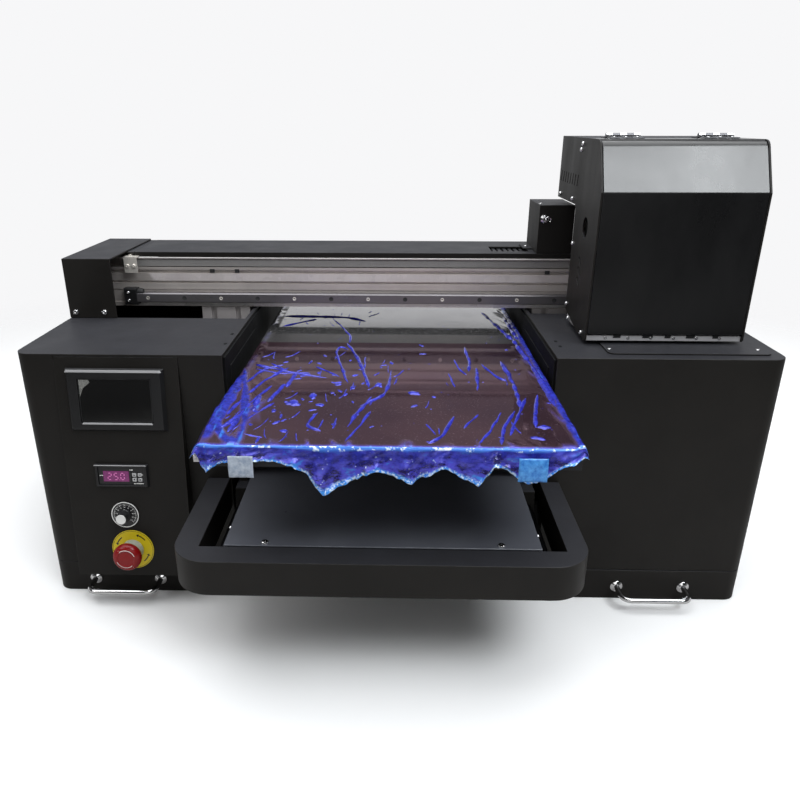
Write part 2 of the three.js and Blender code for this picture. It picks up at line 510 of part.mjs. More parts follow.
function carriage() {
  const { x0, x1, front, bottom, top } = CARRIAGE;
  const [a, b] = [x0 + SHEET + GAP, x1 - SHEET - GAP];
  add('carriage_side_left', sidePlate(x0), 'black');
  add('carriage_side_right', sidePlate(x1 - SHEET), 'black');

  const t = SHEET;
  add('carriage_rear_cover', bentSheet(
    [[184, 434], [184, 546], [187, 549], [307, 549], [307, top], [LID_AXIS_Y + 1, top]],
    [[184 - t, 434], [184 - t, 547], [186, 549 + t], [307 - t, 549 + t], [307 - t, top - t],
      [LID_AXIS_Y + 1, top - t]], a, b), 'black');
  add('carriage_lid', bentSheet(
    [[LID_AXIS_Y - 1, top], [101, top], [92, top - 3], [86, top - 9], [front, 577], [front, 391]],
    [[LID_AXIS_Y - 1, top - t], [101.5, top - t], [94, top - 5.2], [88.6, top - 10.2], [front + t, 576.4],
      [front + t, 391]], a, b), 'blackSatin');

  const plate = { z0: bottom + 0.5, z1: bottom + 7.5 };
  const railClear = block(200, 600, BEAM.y0 - 14.5, 300, X_RAIL_Z - 7.9, X_RAIL_Z + 7.9);
  add('carriage_plate', cut(join(block(a, b, front + 3, 180, plate.z0, plate.z1),
    block(a + 6, b - 6, 173, 180, plate.z0, 540),
    block(290, 440, 179, 237, 384, 428),
    block(300, 430, 236, 257, 381.5, 405.5),
    block(350, 390, 190, 257, 427, 453),
    block(350, 390, 250, BEAM.y0 + 1.4, BELT_Z[0] + 0.5, BELT_Z[1] - 0.5)),
  railClear,
  block(HEAD.x0 - 1, HEAD.x1 + 1, HEAD.y0 - 1, HEAD.y1 + 1, 370, 400),
  block(LAMP.x0 - 1, LAMP.x1 + 1, LAMP.y0 - 1, LAMP.y1 + 1, 370, 400)), 'aluminium');

  add('print_head', join(block(HEAD.x0, HEAD.x1, HEAD.y0, HEAD.y1, 382.5, 402),
    block(HEAD.x0 - 6, HEAD.x1 + 6, HEAD.y0 - 8, HEAD.y1 + 8, plate.z1 + GAP, plate.z1 + 4),
    block(HEAD.x0 + 8, HEAD.x1 - 8, HEAD.y0 + 8, HEAD.y1 - 8, 401, 446)), 'steel');
  add('uv_lamp', join(block(LAMP.x0, LAMP.x1, LAMP.y0, LAMP.y1, 383, 430),
    block(LAMP.x0 - 4, LAMP.x1 + 4, LAMP.y0 - 4, LAMP.y1 + 4, plate.z1 + GAP, plate.z1 + 4),
    ...[0, 1, 2, 3, 4].map((i) => block(LAMP.x0, LAMP.x1, LAMP.y0 + i * 15, LAMP.y0 + 6 + i * 15, 429, 452))),
  'blackSatin');

  const rack = block(a + 8, b - 8, 214, 290, 552, 558);
  const tanks = [0, 1, 2, 3, 4, 5].map((i) => rod('z', a + 28 + i * 30.6, 252, 557, 13.5, 58, 18));
  add('ink_tanks', join(rack, ...tanks), 'ink');

  HINGE_X.forEach(([hx0, hx1], i) => {
    const leaf = block(hx0, hx1, LID_AXIS_Y + 3, LID_AXIS_Y + 22, top + GAP, top + 2);
    const barrel = rod('x', hx0, LID_AXIS_Y, top + 3.6, 3, hx1 - hx0, 20);
    const web = block(hx0, hx1, LID_AXIS_Y + 1, LID_AXIS_Y + 5, top + 1, top + 3);
    add(i ? 'lid_hinge_right' : 'lid_hinge_left', join(leaf, web, barrel), 'chrome');
  });
}

// ---------- cap station, drives, inlet ----------
function capStation() {
  add('cap_station_base', join(block(CAP.x0 + 2, CAP.x1 - 2, CAP.y0 + 2, CAP.y1 - 2, 300, 345),
    block(345, 385, 96, 138, 3 + GAP, 301)), 'plastic');
  add('cap_sled', cut(block(CAP.x0 + 6, CAP.x1 - 6, CAP.y0 + 6, CAP.y1 - 6, 346, 372.5),
    block(CAP.x0 + 11, CAP.x1 - 11, CAP.y0 + 11, CAP.y1 - 11, 368, 380)), 'rubber');
}

function electrics() {
  add('power_supply', block(-470, -255, 380, 495, 3 + GAP, 53), 'galvanised');

  const { x0, x1, z0, z1 } = INLET;
  const [front, back] = [BODY_DEPTH + GAP, BODY_DEPTH + REAR_REACH];
  const body = join(block(x0, x1, front, back, z0, z1),
    block(x0 + 8, x1 - 8, 572, front + 0.5, z0 + 8, z1 - 8));
  add('power_inlet', cut(body, block(x0 + 11, x0 + 35, 586, 620, z0 + 16, z1 - 16),
    block(SWITCH_X - 6.5, SWITCH_X + 6.5, 586, 620, SWITCH_Z - 12, SWITCH_Z + 12)), 'plastic');
  const rocker = polygon([[0, -11], [0, 11], [3, 10.5], [5, 0], [7.5, -10]]);
  add('power_switch', extrudeX(rocker, -5.5, 5.5), 'red', {
    position: new THREE.Vector3(SWITCH_X, 593, SWITCH_Z), rotation: new THREE.Euler(),
  });
}

// ---------- carrying handles ----------
function handle(x0, x1) {
  const [z, reach, bend] = [22, 35, 11];
  const path = new THREE.CurvePath();
  const p = (x, y) => new THREE.Vector3(x, y, z);
  path.add(new THREE.LineCurve3(p(x0, -1.5), p(x0, -reach + bend)));
  path.add(new THREE.QuadraticBezierCurve3(p(x0, -reach + bend), p(x0, -reach), p(x0 + bend, -reach)));
  path.add(new THREE.LineCurve3(p(x0 + bend, -reach), p(x1 - bend, -reach)));
  path.add(new THREE.QuadraticBezierCurve3(p(x1 - bend, -reach), p(x1, -reach), p(x1, -reach + bend)));
  path.add(new THREE.LineCurve3(p(x1, -reach + bend), p(x1, -1.5)));
  const section = new THREE.Shape();
  section.absarc(0, 0, 4, 0, Math.PI * 2, false);
  const bar = new THREE.ExtrudeGeometry(section, { steps: 44, extrudePath: path, curveSegments: 6 });
  const flanges = [x0, x1].map((x) => rod('y', x, -4.3, z, 9, 4, 24));
  return join(bar, ...flanges);
}

basePan();
cabinets();
serviceHatch();
tunnelGuards();
controlConsole();
consoleParts();
frontTray();
bed();
tableCarriage();
gantry();
gantryCovers();
carriage();
capStation();
electrics();
add('front_handle_left', handle(-449, -351), 'chrome');
add('front_handle_right', handle(329.7, 427), 'chrome');

export default group;
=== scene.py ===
"""Looks for the flatbed UV printer: materials, small fittings, protective film, studio and camera.
Metres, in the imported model's frame: +X to the operator's right, +Y away from the operator, +Z up."""
import json
import math
import random

import bmesh
import bpy
from mathutils import Matrix, Vector, noise


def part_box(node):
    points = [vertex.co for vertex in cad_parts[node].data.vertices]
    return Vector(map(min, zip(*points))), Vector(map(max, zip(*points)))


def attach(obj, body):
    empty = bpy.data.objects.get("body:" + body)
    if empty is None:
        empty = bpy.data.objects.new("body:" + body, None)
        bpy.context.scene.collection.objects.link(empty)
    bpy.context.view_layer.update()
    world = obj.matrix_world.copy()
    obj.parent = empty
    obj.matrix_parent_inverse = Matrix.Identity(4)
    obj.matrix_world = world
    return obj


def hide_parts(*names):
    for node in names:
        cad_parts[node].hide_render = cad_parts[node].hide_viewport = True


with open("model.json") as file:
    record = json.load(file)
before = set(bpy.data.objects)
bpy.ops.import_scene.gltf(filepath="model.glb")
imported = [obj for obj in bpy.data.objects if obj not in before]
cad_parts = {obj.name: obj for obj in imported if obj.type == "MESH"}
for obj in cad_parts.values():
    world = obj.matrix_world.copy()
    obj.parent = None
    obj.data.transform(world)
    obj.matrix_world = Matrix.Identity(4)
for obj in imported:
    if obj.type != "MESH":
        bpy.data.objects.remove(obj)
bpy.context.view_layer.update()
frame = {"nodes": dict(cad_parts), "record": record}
nodes = frame["nodes"]
MM = 0.001


def mm(*values):
    """Metres from millimetres."""
    return tuple(v * MM for v in values)


# ---------- camera, light and floor ----------
def make_camera():
    """Camera solved from the machine's edges and its parts of known size."""
    data = bpy.data.cameras.new("camera")
    data.sensor_width = 36.0
    data.lens = 32.14
    data.shift_x, data.shift_y = 0.0316, 0.0124
    data.clip_start, data.clip_end = 0.05, 60.0
    cam = bpy.data.objects.new("camera", data)
    cam.location = (-0.0045, -1.0911, 0.6625)
    cam.rotation_euler = (math.radians(90 - 22.08), 0.0, math.radians(1.55))
    bpy.context.scene.collection.objects.link(cam)
    bpy.context.scene.camera = cam


def area_light(name, place, target, size, power, colour=(1, 1, 1)):
    """Rectangular softbox that points at a target."""
    data = bpy.data.lights.new(name, "AREA")
    data.shape = "RECTANGLE"
    data.size, data.size_y = size
    data.energy = power
    data.color = colour
    lamp = bpy.data.objects.new(name, data)
    lamp.location = place
    lamp.rotation_euler = (Vector(target) - Vector(place)).to_track_quat("-Z", "Y").to_euler()
    bpy.context.scene.collection.objects.link(lamp)


def map_range(tree, value, low, high, out_low=0.0, out_high=1.0, kind="LINEAR"):
    """Carries a value from one range to another."""
    node = tree.nodes.new("ShaderNodeMapRange")
    node.interpolation_type = kind
    for key, v in (("From Min", low), ("From Max", high), ("To Min", out_low), ("To Max", out_high)):
        node.inputs[key].default_value = v
    tree.links.new(value, node.inputs["Value"])
    return node.outputs[0]


def fade(tree, value, low, high, out_low=0.0, out_high=1.0):
    """Smooth step of a value between two limits."""
    return map_range(tree, value, low, high, out_low, out_high, "SMOOTHSTEP")


def make_world():
    """White behind the object for the eye; for lighting, bright at the back, dim in front and below."""
    world = bpy.data.worlds.new("studio")
    bpy.context.scene.world = world
    world.use_nodes = True
    tree = world.node_tree
    n, l = tree.nodes, tree.links
    n.clear()
    out = n.new("ShaderNodeOutputWorld")
    mix = n.new("ShaderNodeMixShader")
    seen, lit = n.new("ShaderNodeBackground"), n.new("ShaderNodeBackground")
    seen.inputs["Color"].default_value = (0.93, 0.93, 0.94, 1)
    lit.inputs["Color"].default_value = (0.97, 0.98, 1.0, 1)
    path = n.new("ShaderNodeLightPath")
    split = n.new("ShaderNodeSeparateXYZ")
    l.new(n.new("ShaderNodeTexCoord").outputs["Generated"], split.inputs[0])
    strength = fade(tree, split.outputs["Y"], -0.7, 0.6, 0.12, 0.9)   # the back is bright
    for factor in (fade(tree, split.outputs["Z"], -0.25, 0.1, 0.12, 1.0),       # below is dim
                   fade(tree, split.outputs["Z"], 0.252, 0.285, 1.0, 0.16)):    # and so is the ceiling
        times = n.new("ShaderNodeMath")
        times.operation = "MULTIPLY"
        l.new(strength, times.inputs[0])
        l.new(factor, times.inputs[1])
        strength = times.outputs[0]
    l.new(strength, lit.inputs["Strength"])
    l.new(path.outputs["Is Camera Ray"], mix.inputs["Fac"])
    l.new(lit.outputs[0], mix.inputs[1])
    l.new(seen.outputs[0], mix.inputs[2])
    l.new(mix.outputs[0], out.inputs[0])


def make_floor():
    """A pale round floor that fades out into the backdrop."""
    bm = bmesh.new()
    bmesh.ops.create_circle(bm, cap_ends=True, segments=96, radius=3.0)
    mesh = bpy.data.meshes.new("floor")
    bm.to_mesh(mesh)
    bm.free()
    floor = bpy.data.objects.new("floor", mesh)
    floor.location = (0, 0.1, -0.0005)
    bpy.context.scene.collection.objects.link(floor)
    mat = bpy.data.materials.new("floor")
    mat.use_nodes = True
    tree = mat.node_tree
    n, l = tree.nodes, tree.links
    shader, out = n["Principled BSDF"], n["Material Output"]
    path, tone = n.new("ShaderNodeLightPath"), n.new("ShaderNodeMix")
    tone.data_type = "RGBA"
    tone.inputs[6].default_value = (0.48, 0.47, 0.46, 1)
    tone.inputs[7].default_value = (0.96, 0.96, 0.96, 1)
    l.new(path.outputs["Is Camera Ray"], tone.inputs["Factor"])
    l.new(tone.outputs[2], shader.inputs["Base Color"])
    shader.inputs["Roughness"].default_value = 0.75
    shader.inputs["Specular IOR Level"].default_value = 0.15
    length = n.new("ShaderNodeVectorMath")
    length.operation = "LENGTH"
    l.new(n.new("ShaderNodeTexCoord").outputs["Object"], length.inputs[0])
    clear, mix = n.new("ShaderNodeBsdfTransparent"), n.new("ShaderNodeMixShader")
    l.new(fade(tree, length.outputs["Value"], 1.0, 2.2), mix.inputs["Fac"])
    l.new(shader.outputs[0], mix.inputs[1])
    l.new(clear.outputs[0], mix.inputs[2])
    l.new(mix.outputs[0], out.inputs["Surface"])
    floor.data.materials.append(mat)


make_camera()
make_world()
make_floor()
bpy.context.scene.view_settings.view_transform = "Standard"
area_light("key_softbox", (1.2, -1.58, 2.4), (0.3, -0.1, 0.5), (1.7, 0.9), 50, (0.94, 0.975, 1.0))
area_light("top_softbox", (-0.1, 0.2, 2.9), (0.0, 0.0, 0.0), (4.2, 3.0), 125, (0.97, 0.985, 1.0))
area_light("left_softbox", (-1.9, -1.5, 1.7), (-0.1, 0.0, 0.4), (1.2, 1.2), 12)
area_light("front_fill", (0.0, -1.9, 0.85), (0.0, -0.3, 0.25), (1.2, 0.5), 3)


# ---------- procedural materials ----------
class Tree:
    """Short-hand for building one material's node tree."""

    def __init__(self, name):
        self.mat = bpy.data.materials.new(name)
        self.mat.use_nodes = True
        self.n, self.l = self.mat.node_tree.nodes, self.mat.node_tree.links
        self.shader = self.n["Principled BSDF"]
        self.where = self.n.new("ShaderNodeTexCoord").outputs["Object"]

    def set(self, **values):
        """Plain values of the shader, by input name."""
        for key, value in values.items():
            self.shader.inputs[key.replace("_", " ")].default_value = value
        return self

    def scaled(self, scale):
        """Object coordinates stretched by a scale for each axis, for grain that runs one way."""
        mapping = self.n.new("ShaderNodeMapping")
        mapping.inputs["Scale"].default_value = scale
        self.l.new(self.where, mapping.inputs["Vector"])
        return mapping.outputs[0]

    def noise(self, scale, detail=3.0, rough=0.55, vector=None):
        """Cloudy noise, from 0 to 1."""
        tex = self.n.new("ShaderNodeTexNoise")
        tex.inputs["Scale"].default_value = scale
        tex.inputs["Detail"].default_value = detail
        tex.inputs["Roughness"].default_value = rough
        self.l.new(self.where if vector is None else vector, tex.inputs["Vector"])
        return tex.outputs["Fac"]

    def cells(self, scale, feature="F1"):
        """Distance in a pattern of random cells."""
        tex = self.n.new("ShaderNodeTexVoronoi")
        tex.feature = feature
        tex.inputs["Scale"].default_value = scale
        self.l.new(self.where, tex.inputs["Vector"])
        return tex.outputs["Distance"]

    def ramp(self, value, low, high, out_low=0.0, out_high=1.0):
        return map_range(self.mat.node_tree, value, low, high, out_low, out_high)

    def math(self, kind, a, b):
        """Result of one sum on two values; each is a number or a socket."""
        node = self.n.new("ShaderNodeMath")
        node.operation = kind
        for socket, v in zip(node.inputs, (a, b)):
            if isinstance(v, (int, float)):
                socket.default_value = v
            else:
                self.l.new(v, socket)
        return node.outputs[0]

    def times(self, a, b):
        return self.math("MULTIPLY", a, b)

    def plus(self, a, b):
        return self.math("ADD", a, b)

    def colours(self, fac, a, b):
        """Mix from colour a to colour b; each is a plain colour or a socket."""
        node = self.n.new("ShaderNodeMix")
        node.data_type = "RGBA"
        self.l.new(fac, node.inputs["Factor"])
        for socket, v in ((node.inputs[6], a), (node.inputs[7], b)):
            if isinstance(v, tuple):
                socket.default_value = (*v, 1)
            else:
                self.l.new(v, socket)
        return node.outputs[2]

    def edges(self, radius):
        """1 on convex and concave edges, 0 on open faces."""
        bevel = self.n.new("ShaderNodeBevel")
        bevel.samples = 3
        bevel.inputs["Radius"].default_value = radius
        plain = self.n.new("ShaderNodeNewGeometry")
        dot = self.n.new("ShaderNodeVectorMath")
        dot.operation = "DOT_PRODUCT"
        self.l.new(bevel.outputs[0], dot.inputs[0])
        self.l.new(plain.outputs["Normal"], dot.inputs[1])
        return self.ramp(dot.outputs["Value"], 0.995, 0.82)

    def facing_up(self):
        """1 on faces that look up, 0 on walls."""
        plain = self.n.new("ShaderNodeNewGeometry")
        split = self.n.new("ShaderNodeSeparateXYZ")
        self.l.new(plain.outputs["Normal"], split.inputs[0])
        return self.ramp(split.outputs["Z"], 0.6, 0.98)

    def bump(self, height, strength, distance):
        """Surface normal from a height."""
        node = self.n.new("ShaderNodeBump")
        node.inputs["Strength"].default_value = strength
        node.inputs["Distance"].default_value = distance
        self.l.new(height, node.inputs["Height"])
        return node.outputs[0]

    def use(self, colour=None, rough=None, normal=None):
        """Links the results to the shader and returns the material."""
        for key, value in (("Base Color", colour), ("Roughness", rough), ("Normal", normal)):
            if value is not None:
                self.l.new(value, self.shader.inputs[key])
        return self.mat


def painted(name, dark, light, rough, peel=0.12, grain=900.0, wear_and_highlight=0.5, dust_and_sheen=0.25, coat=0.0, gloss=0.5,
            coat_rough=0.12):
    """Paint or moulded plastic: fine skin texture, hand smudges, dusting and painted sheen on top faces, and
    scuffed edges partly lightened as a painted highlight.
    """
    t = Tree(name)
    clouds = t.noise(7.0, 4.0, 0.6)
    speckle = t.noise(grain * 2.2, 2.0)
    tone = t.colours(t.ramp(t.plus(clouds, t.times(speckle, 0.5)), 0.5, 1.0), dark, light)
    # Top faces: dust, with a painted sheen that lightens them the way light from above would.
    top_dust_and_sheen = t.times(t.facing_up(), t.ramp(t.noise(22.0, 6.0, 0.7), 0.3, 0.8, 0.7, 1.0))
    dust_and_sheen_tone = t.colours(t.times(top_dust_and_sheen, dust_and_sheen), tone, (0.060, 0.063, 0.078))
    # Edges: scuffed paint, made lighter still as a painted edge highlight.
    edge_wear_and_highlight = t.times(t.edges(0.0012), t.ramp(t.noise(60.0, 5.0, 0.7), 0.38, 0.68))
    worn_and_highlight_colour = tuple(min(1.0, c * 3.2 + 0.05) for c in light)
    colour = t.colours(t.times(edge_wear_and_highlight, wear_and_highlight), dust_and_sheen_tone, worn_and_highlight_colour)
    smudge = t.ramp(t.noise(11.0, 5.0, 0.65, t.scaled((1.0, 1.0, 0.45))), 0.3, 0.72)
    roughness = t.plus(t.ramp(smudge, 0.0, 1.0, rough[0], rough[1]), t.times(top_dust_and_sheen, 0.04))
    skin = t.plus(t.noise(grain, 2.0), t.times(t.cells(grain * 0.7), 0.6))
    t.set(Coat_Weight=coat, Coat_Roughness=coat_rough, Specular_IOR_Level=gloss)
    return t.use(colour, roughness, t.bump(skin, peel, 0.00025))


def metal(name, colour, rough, along=None, grain=0.25, stain=0.25, aniso=0.0, metallic=1.0):
    """Bare metal; along is the axis that its drawn or ground lines run in."""
    t = Tree(name)
    scale = {None: (500, 500, 500), "x": (4, 900, 900), "y": (900, 4, 900), "z": (900, 900, 4)}[along]
    lines = t.noise(1.0, 3.0, 0.6, t.scaled(scale))
    blotch = t.noise(26.0, 5.0, 0.65)
    low = tuple(c * (1 - stain) for c in colour)
    base = t.colours(t.ramp(t.plus(t.times(lines, 0.6), blotch), 0.5, 1.1), low, colour)
    bright = tuple(min(1.0, c * 1.25) for c in colour)
    base = t.colours(t.times(t.edges(0.0008), 0.6), base, bright)
    roughness = t.plus(t.ramp(lines, 0.25, 0.75, rough[0], rough[1]), t.ramp(blotch, 0.4, 0.8, 0.0, 0.08))
    t.set(Metallic=metallic, Anisotropic=aniso)
    return t.use(base, roughness, t.bump(lines, grain, 0.0001))


def galvanised(name):
    """Zinc-plated sheet with its crystal spangle."""
    t = Tree(name)
    tex = t.n.new("ShaderNodeTexVoronoi")
    tex.inputs["Scale"].default_value = 130.0
    t.l.new(t.where, tex.inputs["Vector"])
    tone = t.ramp(tex.outputs["Color"], 0.0, 1.0)
    base = t.colours(tone, (0.33, 0.34, 0.34), (0.52, 0.53, 0.54))
    rough = t.plus(t.ramp(tone, 0.0, 1.0, 0.34, 0.5), t.ramp(t.noise(30.0), 0.3, 0.7, 0.0, 0.1))
    t.set(Metallic=1.0)
    return t.use(base, rough, t.bump(t.noise(240.0, 3.0), 0.12, 0.0002))


def glassy(name, colour, rough=0.05):
    """Dark display glass with finger smears."""
    t = Tree(name)
    smear = t.ramp(t.noise(34.0, 6.0, 0.7, t.scaled((1.0, 1.0, 0.3))), 0.45, 0.8, rough, rough + 0.16)
    tone = t.colours(t.noise(9.0), colour, tuple(c * 1.6 for c in colour))
    t.set(Coat_Weight=0.6, Coat_Roughness=0.04)
    return t.use(tone, smear, t.bump(t.noise(25.0), 0.02, 0.0002))


def rubber(name, colour, cord=0.0):
    """Dull rubber with chalky patches; a cord value gives it fine ribs."""
    t = Tree(name)
    chalk = t.ramp(t.noise(90.0, 6.0, 0.7), 0.45, 0.75)
    tone = t.colours(t.times(chalk, 0.5), colour, tuple(c + 0.035 for c in colour))
    height = t.noise(700.0, 3.0)
    if cord:
        wave = t.n.new("ShaderNodeTexWave")
        wave.inputs["Scale"].default_value = cord
        t.l.new(t.where, wave.inputs["Vector"])
        height = t.plus(height, wave.outputs["Fac"])
    return t.use(tone, t.ramp(chalk, 0.0, 1.0, 0.6, 0.85), t.bump(height, 0.3, 0.0004))


MATERIALS = {
    "powder_coat": painted("powder_coat", (0.0072, 0.0064, 0.0056), (0.0130, 0.0117, 0.0104), (0.40, 0.56),
                           0.14, 850, 0.45, 0.42, gloss=0.22),
    "lid_satin": painted("lid_satin", (0.0028, 0.0028, 0.0031), (0.0054, 0.0054, 0.0059), (0.24, 0.42),
                         0.04, 1500, 0.5, 0.06, 0.55, 0.42, 0.17),
    "black_plastic": painted("black_plastic", (0.0075, 0.0075, 0.008), (0.014, 0.014, 0.015),
                             (0.30, 0.42), 0.14, 1900, 0.3, 0.15, gloss=0.4),
    "screen_glass": glassy("screen_glass", (0.006, 0.006, 0.006)),
    "grey_keys": painted("grey_keys", (0.35, 0.35, 0.36), (0.5, 0.5, 0.5), (0.4, 0.55), 0.1, 2500, 0.2,
                         0.1),
    "dial_face": painted("dial_face", (0.008, 0.008, 0.009), (0.014, 0.014, 0.015), (0.28, 0.4), 0.05,
                         3000, 0.1, 0.1),
    "knob_white": painted("knob_white", (0.72, 0.72, 0.70), (0.82, 0.82, 0.80), (0.3, 0.42), 0.05, 3000,
                          0.1, 0.1),
    "safety_yellow": painted("safety_yellow", (0.60, 0.46, 0.004), (0.70, 0.55, 0.008), (0.36, 0.5), 0.06,
                             2500, 0.1, 0.1),
    "collar_grey": painted("collar_grey", (0.34, 0.36, 0.30), (0.46, 0.48, 0.42), (0.35, 0.5), 0.08, 2500,
                           0.2, 0.1),
    "safety_red": painted("safety_red", (0.20, 0.004, 0.005), (0.28, 0.008, 0.009), (0.2, 0.32), 0.05, 1800,
                          0.15, 0.05, 0.12, 0.3),
    "zinc_steel": galvanised("zinc_steel"),
    "rail_steel": metal("rail_steel", (0.20, 0.19, 0.20), (0.24, 0.36), "x", 0.10, 0.12, 0.0, 0.75),
    "motor_black": painted("motor_black", (0.010, 0.010, 0.011), (0.02, 0.02, 0.021), (0.35, 0.5), 0.2,
                           1400),
    "aluminium": metal("aluminium", (0.66, 0.65, 0.66), (0.3, 0.44), None, 0.14, 0.15, 0.0, 0.6),
    "beam_aluminium": metal("beam_aluminium", (0.64, 0.59, 0.56), (0.30, 0.44), "x", 0.14, 0.2, 0.0, 0.6),
    "table_aluminium": metal("table_aluminium", (0.014, 0.014, 0.016), (0.42, 0.55), "y", 0.15, 0.2, 0.0,
                             0.3),
    "belt_rubber": rubber("belt_rubber", (0.20, 0.195, 0.19), 90.0),
    "head_steel": metal("head_steel", (0.5, 0.5, 0.52), (0.2, 0.34), None, 0.12),
    "lamp_black": painted("lamp_black", (0.012, 0.012, 0.013), (0.024, 0.024, 0.025), (0.3, 0.45), 0.14,
                          1600),
    "ink_plastic": painted("ink_plastic", (0.03, 0.032, 0.035), (0.05, 0.052, 0.055), (0.25, 0.4), 0.06,
                           1500, 0.2, 0.1, 0.3),
    "chrome": metal("chrome", (0.80, 0.80, 0.81), (0.05, 0.13), None, 0.04, 0.12),
    "cap_rubber": rubber("cap_rubber", (0.014, 0.014, 0.015)),
    "dark_rail": metal("dark_rail", (0.035, 0.035, 0.04), (0.22, 0.38), "y", 0.2),
}


def crease_look():
    """Blue film where it is creased: glossy and crinkled."""
    t = Tree("film_crease")
    crinkle = t.noise(150.0, 5.0, 0.65)
    tone = t.colours(t.ramp(crinkle, 0.35, 0.65), (0.016, 0.016, 0.24), (0.045, 0.055, 0.62))
    t.set(Metallic=0.2, Coat_Weight=0.3, Coat_Roughness=0.05)
    return t.use(tone, t.ramp(crinkle, 0.3, 0.7, 0.12, 0.26), t.bump(crinkle, 0.5, 0.0006))


def clung_film(t, y, speck):
    """Colour of the film where it clings to the plate: painted shade darkens it towards the gantry, then it
    is clear.
    """
    veins = t.ramp(t.cells(95.0, "DISTANCE_TO_EDGE"), 0.0, 0.05, 1.0, 0.0)
    tone = t.colours(t.ramp(t.noise(9.0, 4.0), 0.35, 0.65), (0.165, 0.092, 0.130), (0.235, 0.130, 0.165))
    # painted shade: the clinging film darkens in the band before the gantry
    tone = t.colours(t.ramp(y, BARE_FROM - 0.16, BARE_FROM - 0.10, 0.0, 0.42), tone, (0.05, 0.03, 0.045))
    tone = t.colours(t.ramp(y, BARE_FROM, BARE_FROM + 0.0015), tone, (0.30, 0.295, 0.30))
    tone = t.colours(t.times(speck, 0.22), tone, (0.34, 0.34, 0.5))
    veined = t.times(veins, t.ramp(t.noise(14.0, 3.0), 0.5, 0.7, 0.0, 0.18))
    return t.colours(veined, tone, (0.22, 0.24, 0.5))


def loose_film(t, loose, crinkle, hang):
    """Colour of the film where it is loose: blue with bright painted highlight lines; where it hangs, pale
    folds painted with shade in their hollows and highlights on their ridges.
    """
    blue = t.colours(t.ramp(crinkle, 0.35, 0.68), (0.014, 0.014, 0.17), (0.034, 0.050, 0.54))
    # painted highlights: bright streak lines across the loose film
    highlight_streaks = t.noise(1.0, 4.0, 0.6, t.scaled((120.0, 14.0, 60.0)))
    highlight_streaks = t.times(t.ramp(highlight_streaks, 0.56, 0.66, 0.0, 0.85), t.ramp(loose, 0.98, 1.02, 1.0, 0.0))
    blue = t.colours(highlight_streaks, blue, (0.04, 0.22, 0.80))
    # Hanging part: painted shade in the hollows of the folds, painted highlights on their ridges.
    folds = t.noise(1.0, 5.0, 0.66, t.scaled((42.0, 20.0, 84.0)))
    pale = t.colours(t.ramp(folds, 0.43, 0.54), (0.016, 0.009, 0.060), (0.105, 0.098, 0.68))
    pale = t.colours(t.ramp(folds, 0.58, 0.66), pale, (0.07, 0.32, 0.95))
    return t.colours(t.times(hang, 0.95), blue, pale)


def film_painted_highlights(t, tone, y, loose, rim):
    """Adds painted highlights: the bright torn hem with its sparkle, the bright front edge with its glints,
    and the glints of the hanging part.
    """
    painted_sparkle = t.ramp(t.noise(300.0, 3.0, 0.7), 0.50, 0.56)
    # painted highlight along the torn hem, with white sparkle
    tone = t.colours(t.times(rim, 0.85), tone, (0.05, 0.34, 1.0))
    tone = t.colours(t.times(t.times(rim, painted_sparkle), 0.9), tone, (0.80, 0.92, 1.0))
    # painted highlight along the plate's front edge, with white glints
    front = t.times(t.ramp(y, PLATE_FRONT, PLATE_FRONT + 0.003, 1.0, 0.0),
                    t.times(t.ramp(loose, 0.84, 0.90), t.ramp(loose, 1.06, 1.14, 1.0, 0.0)))
    tone = t.colours(t.times(front, 0.75), tone, (0.07, 0.26, 0.85))
    tone = t.colours(t.times(front, t.ramp(t.noise(110.0, 3.0, 0.7), 0.56, 0.62)), tone, (0.8, 0.92, 1.0))
    # painted glints scattered over the hanging part
    painted_glint = t.times(t.ramp(t.noise(260.0, 2.0, 0.6), 0.66, 0.69), t.ramp(loose, 1.15, 1.6))
    return t.colours(t.times(painted_glint, t.ramp(t.noise(22.0, 3.0), 0.5, 0.58)), tone, (0.72, 0.88, 1.0))


def film_look():
    """Thin blue film: a dark mirror where it clings to the plate, glossy blue where it is loose."""
    t = Tree("film")
    speck = t.ramp(t.noise(420.0, 4.0, 0.7), 0.62, 0.72)
    crinkle = t.noise(150.0, 5.0, 0.65)
    attribute = t.n.new("ShaderNodeAttribute")
    attribute.attribute_name = "loose"
    loose = attribute.outputs["Fac"]
    split = t.n.new("ShaderNodeSeparateXYZ")
    t.l.new(t.where, split.inputs[0])
    y = split.outputs["Y"]
    off, hang, rim = t.ramp(loose, 0.15, 0.85), t.ramp(loose, 1.0, 1.9), t.ramp(loose, 1.84, 1.95)
    tone = t.colours(off, clung_film(t, y, speck), loose_film(t, loose, crinkle, hang))
    tone = film_painted_highlights(t, tone, y, loose, rim)
    t.l.new(t.ramp(off, 0.0, 1.0, 0.86, 0.15), t.shader.inputs["Metallic"])
    thin = t.times(t.math("SUBTRACT", hang, rim), 0.22)
    t.l.new(t.math("SUBTRACT", 1.0, thin), t.shader.inputs["Alpha"])
    smears = t.ramp(t.noise(18.0, 5.0, 0.7), 0.45, 0.8, 0.0, 0.07)
    rough = t.plus(t.ramp(off, 0.0, 1.0, 0.045, 0.14), smears)
    height = t.plus(t.times(crinkle, t.ramp(off, 0.0, 1.0, 0.03, 1.0)), t.times(speck, 0.12))
    return t.use(tone, rough, t.bump(height, 0.55, 0.0011))


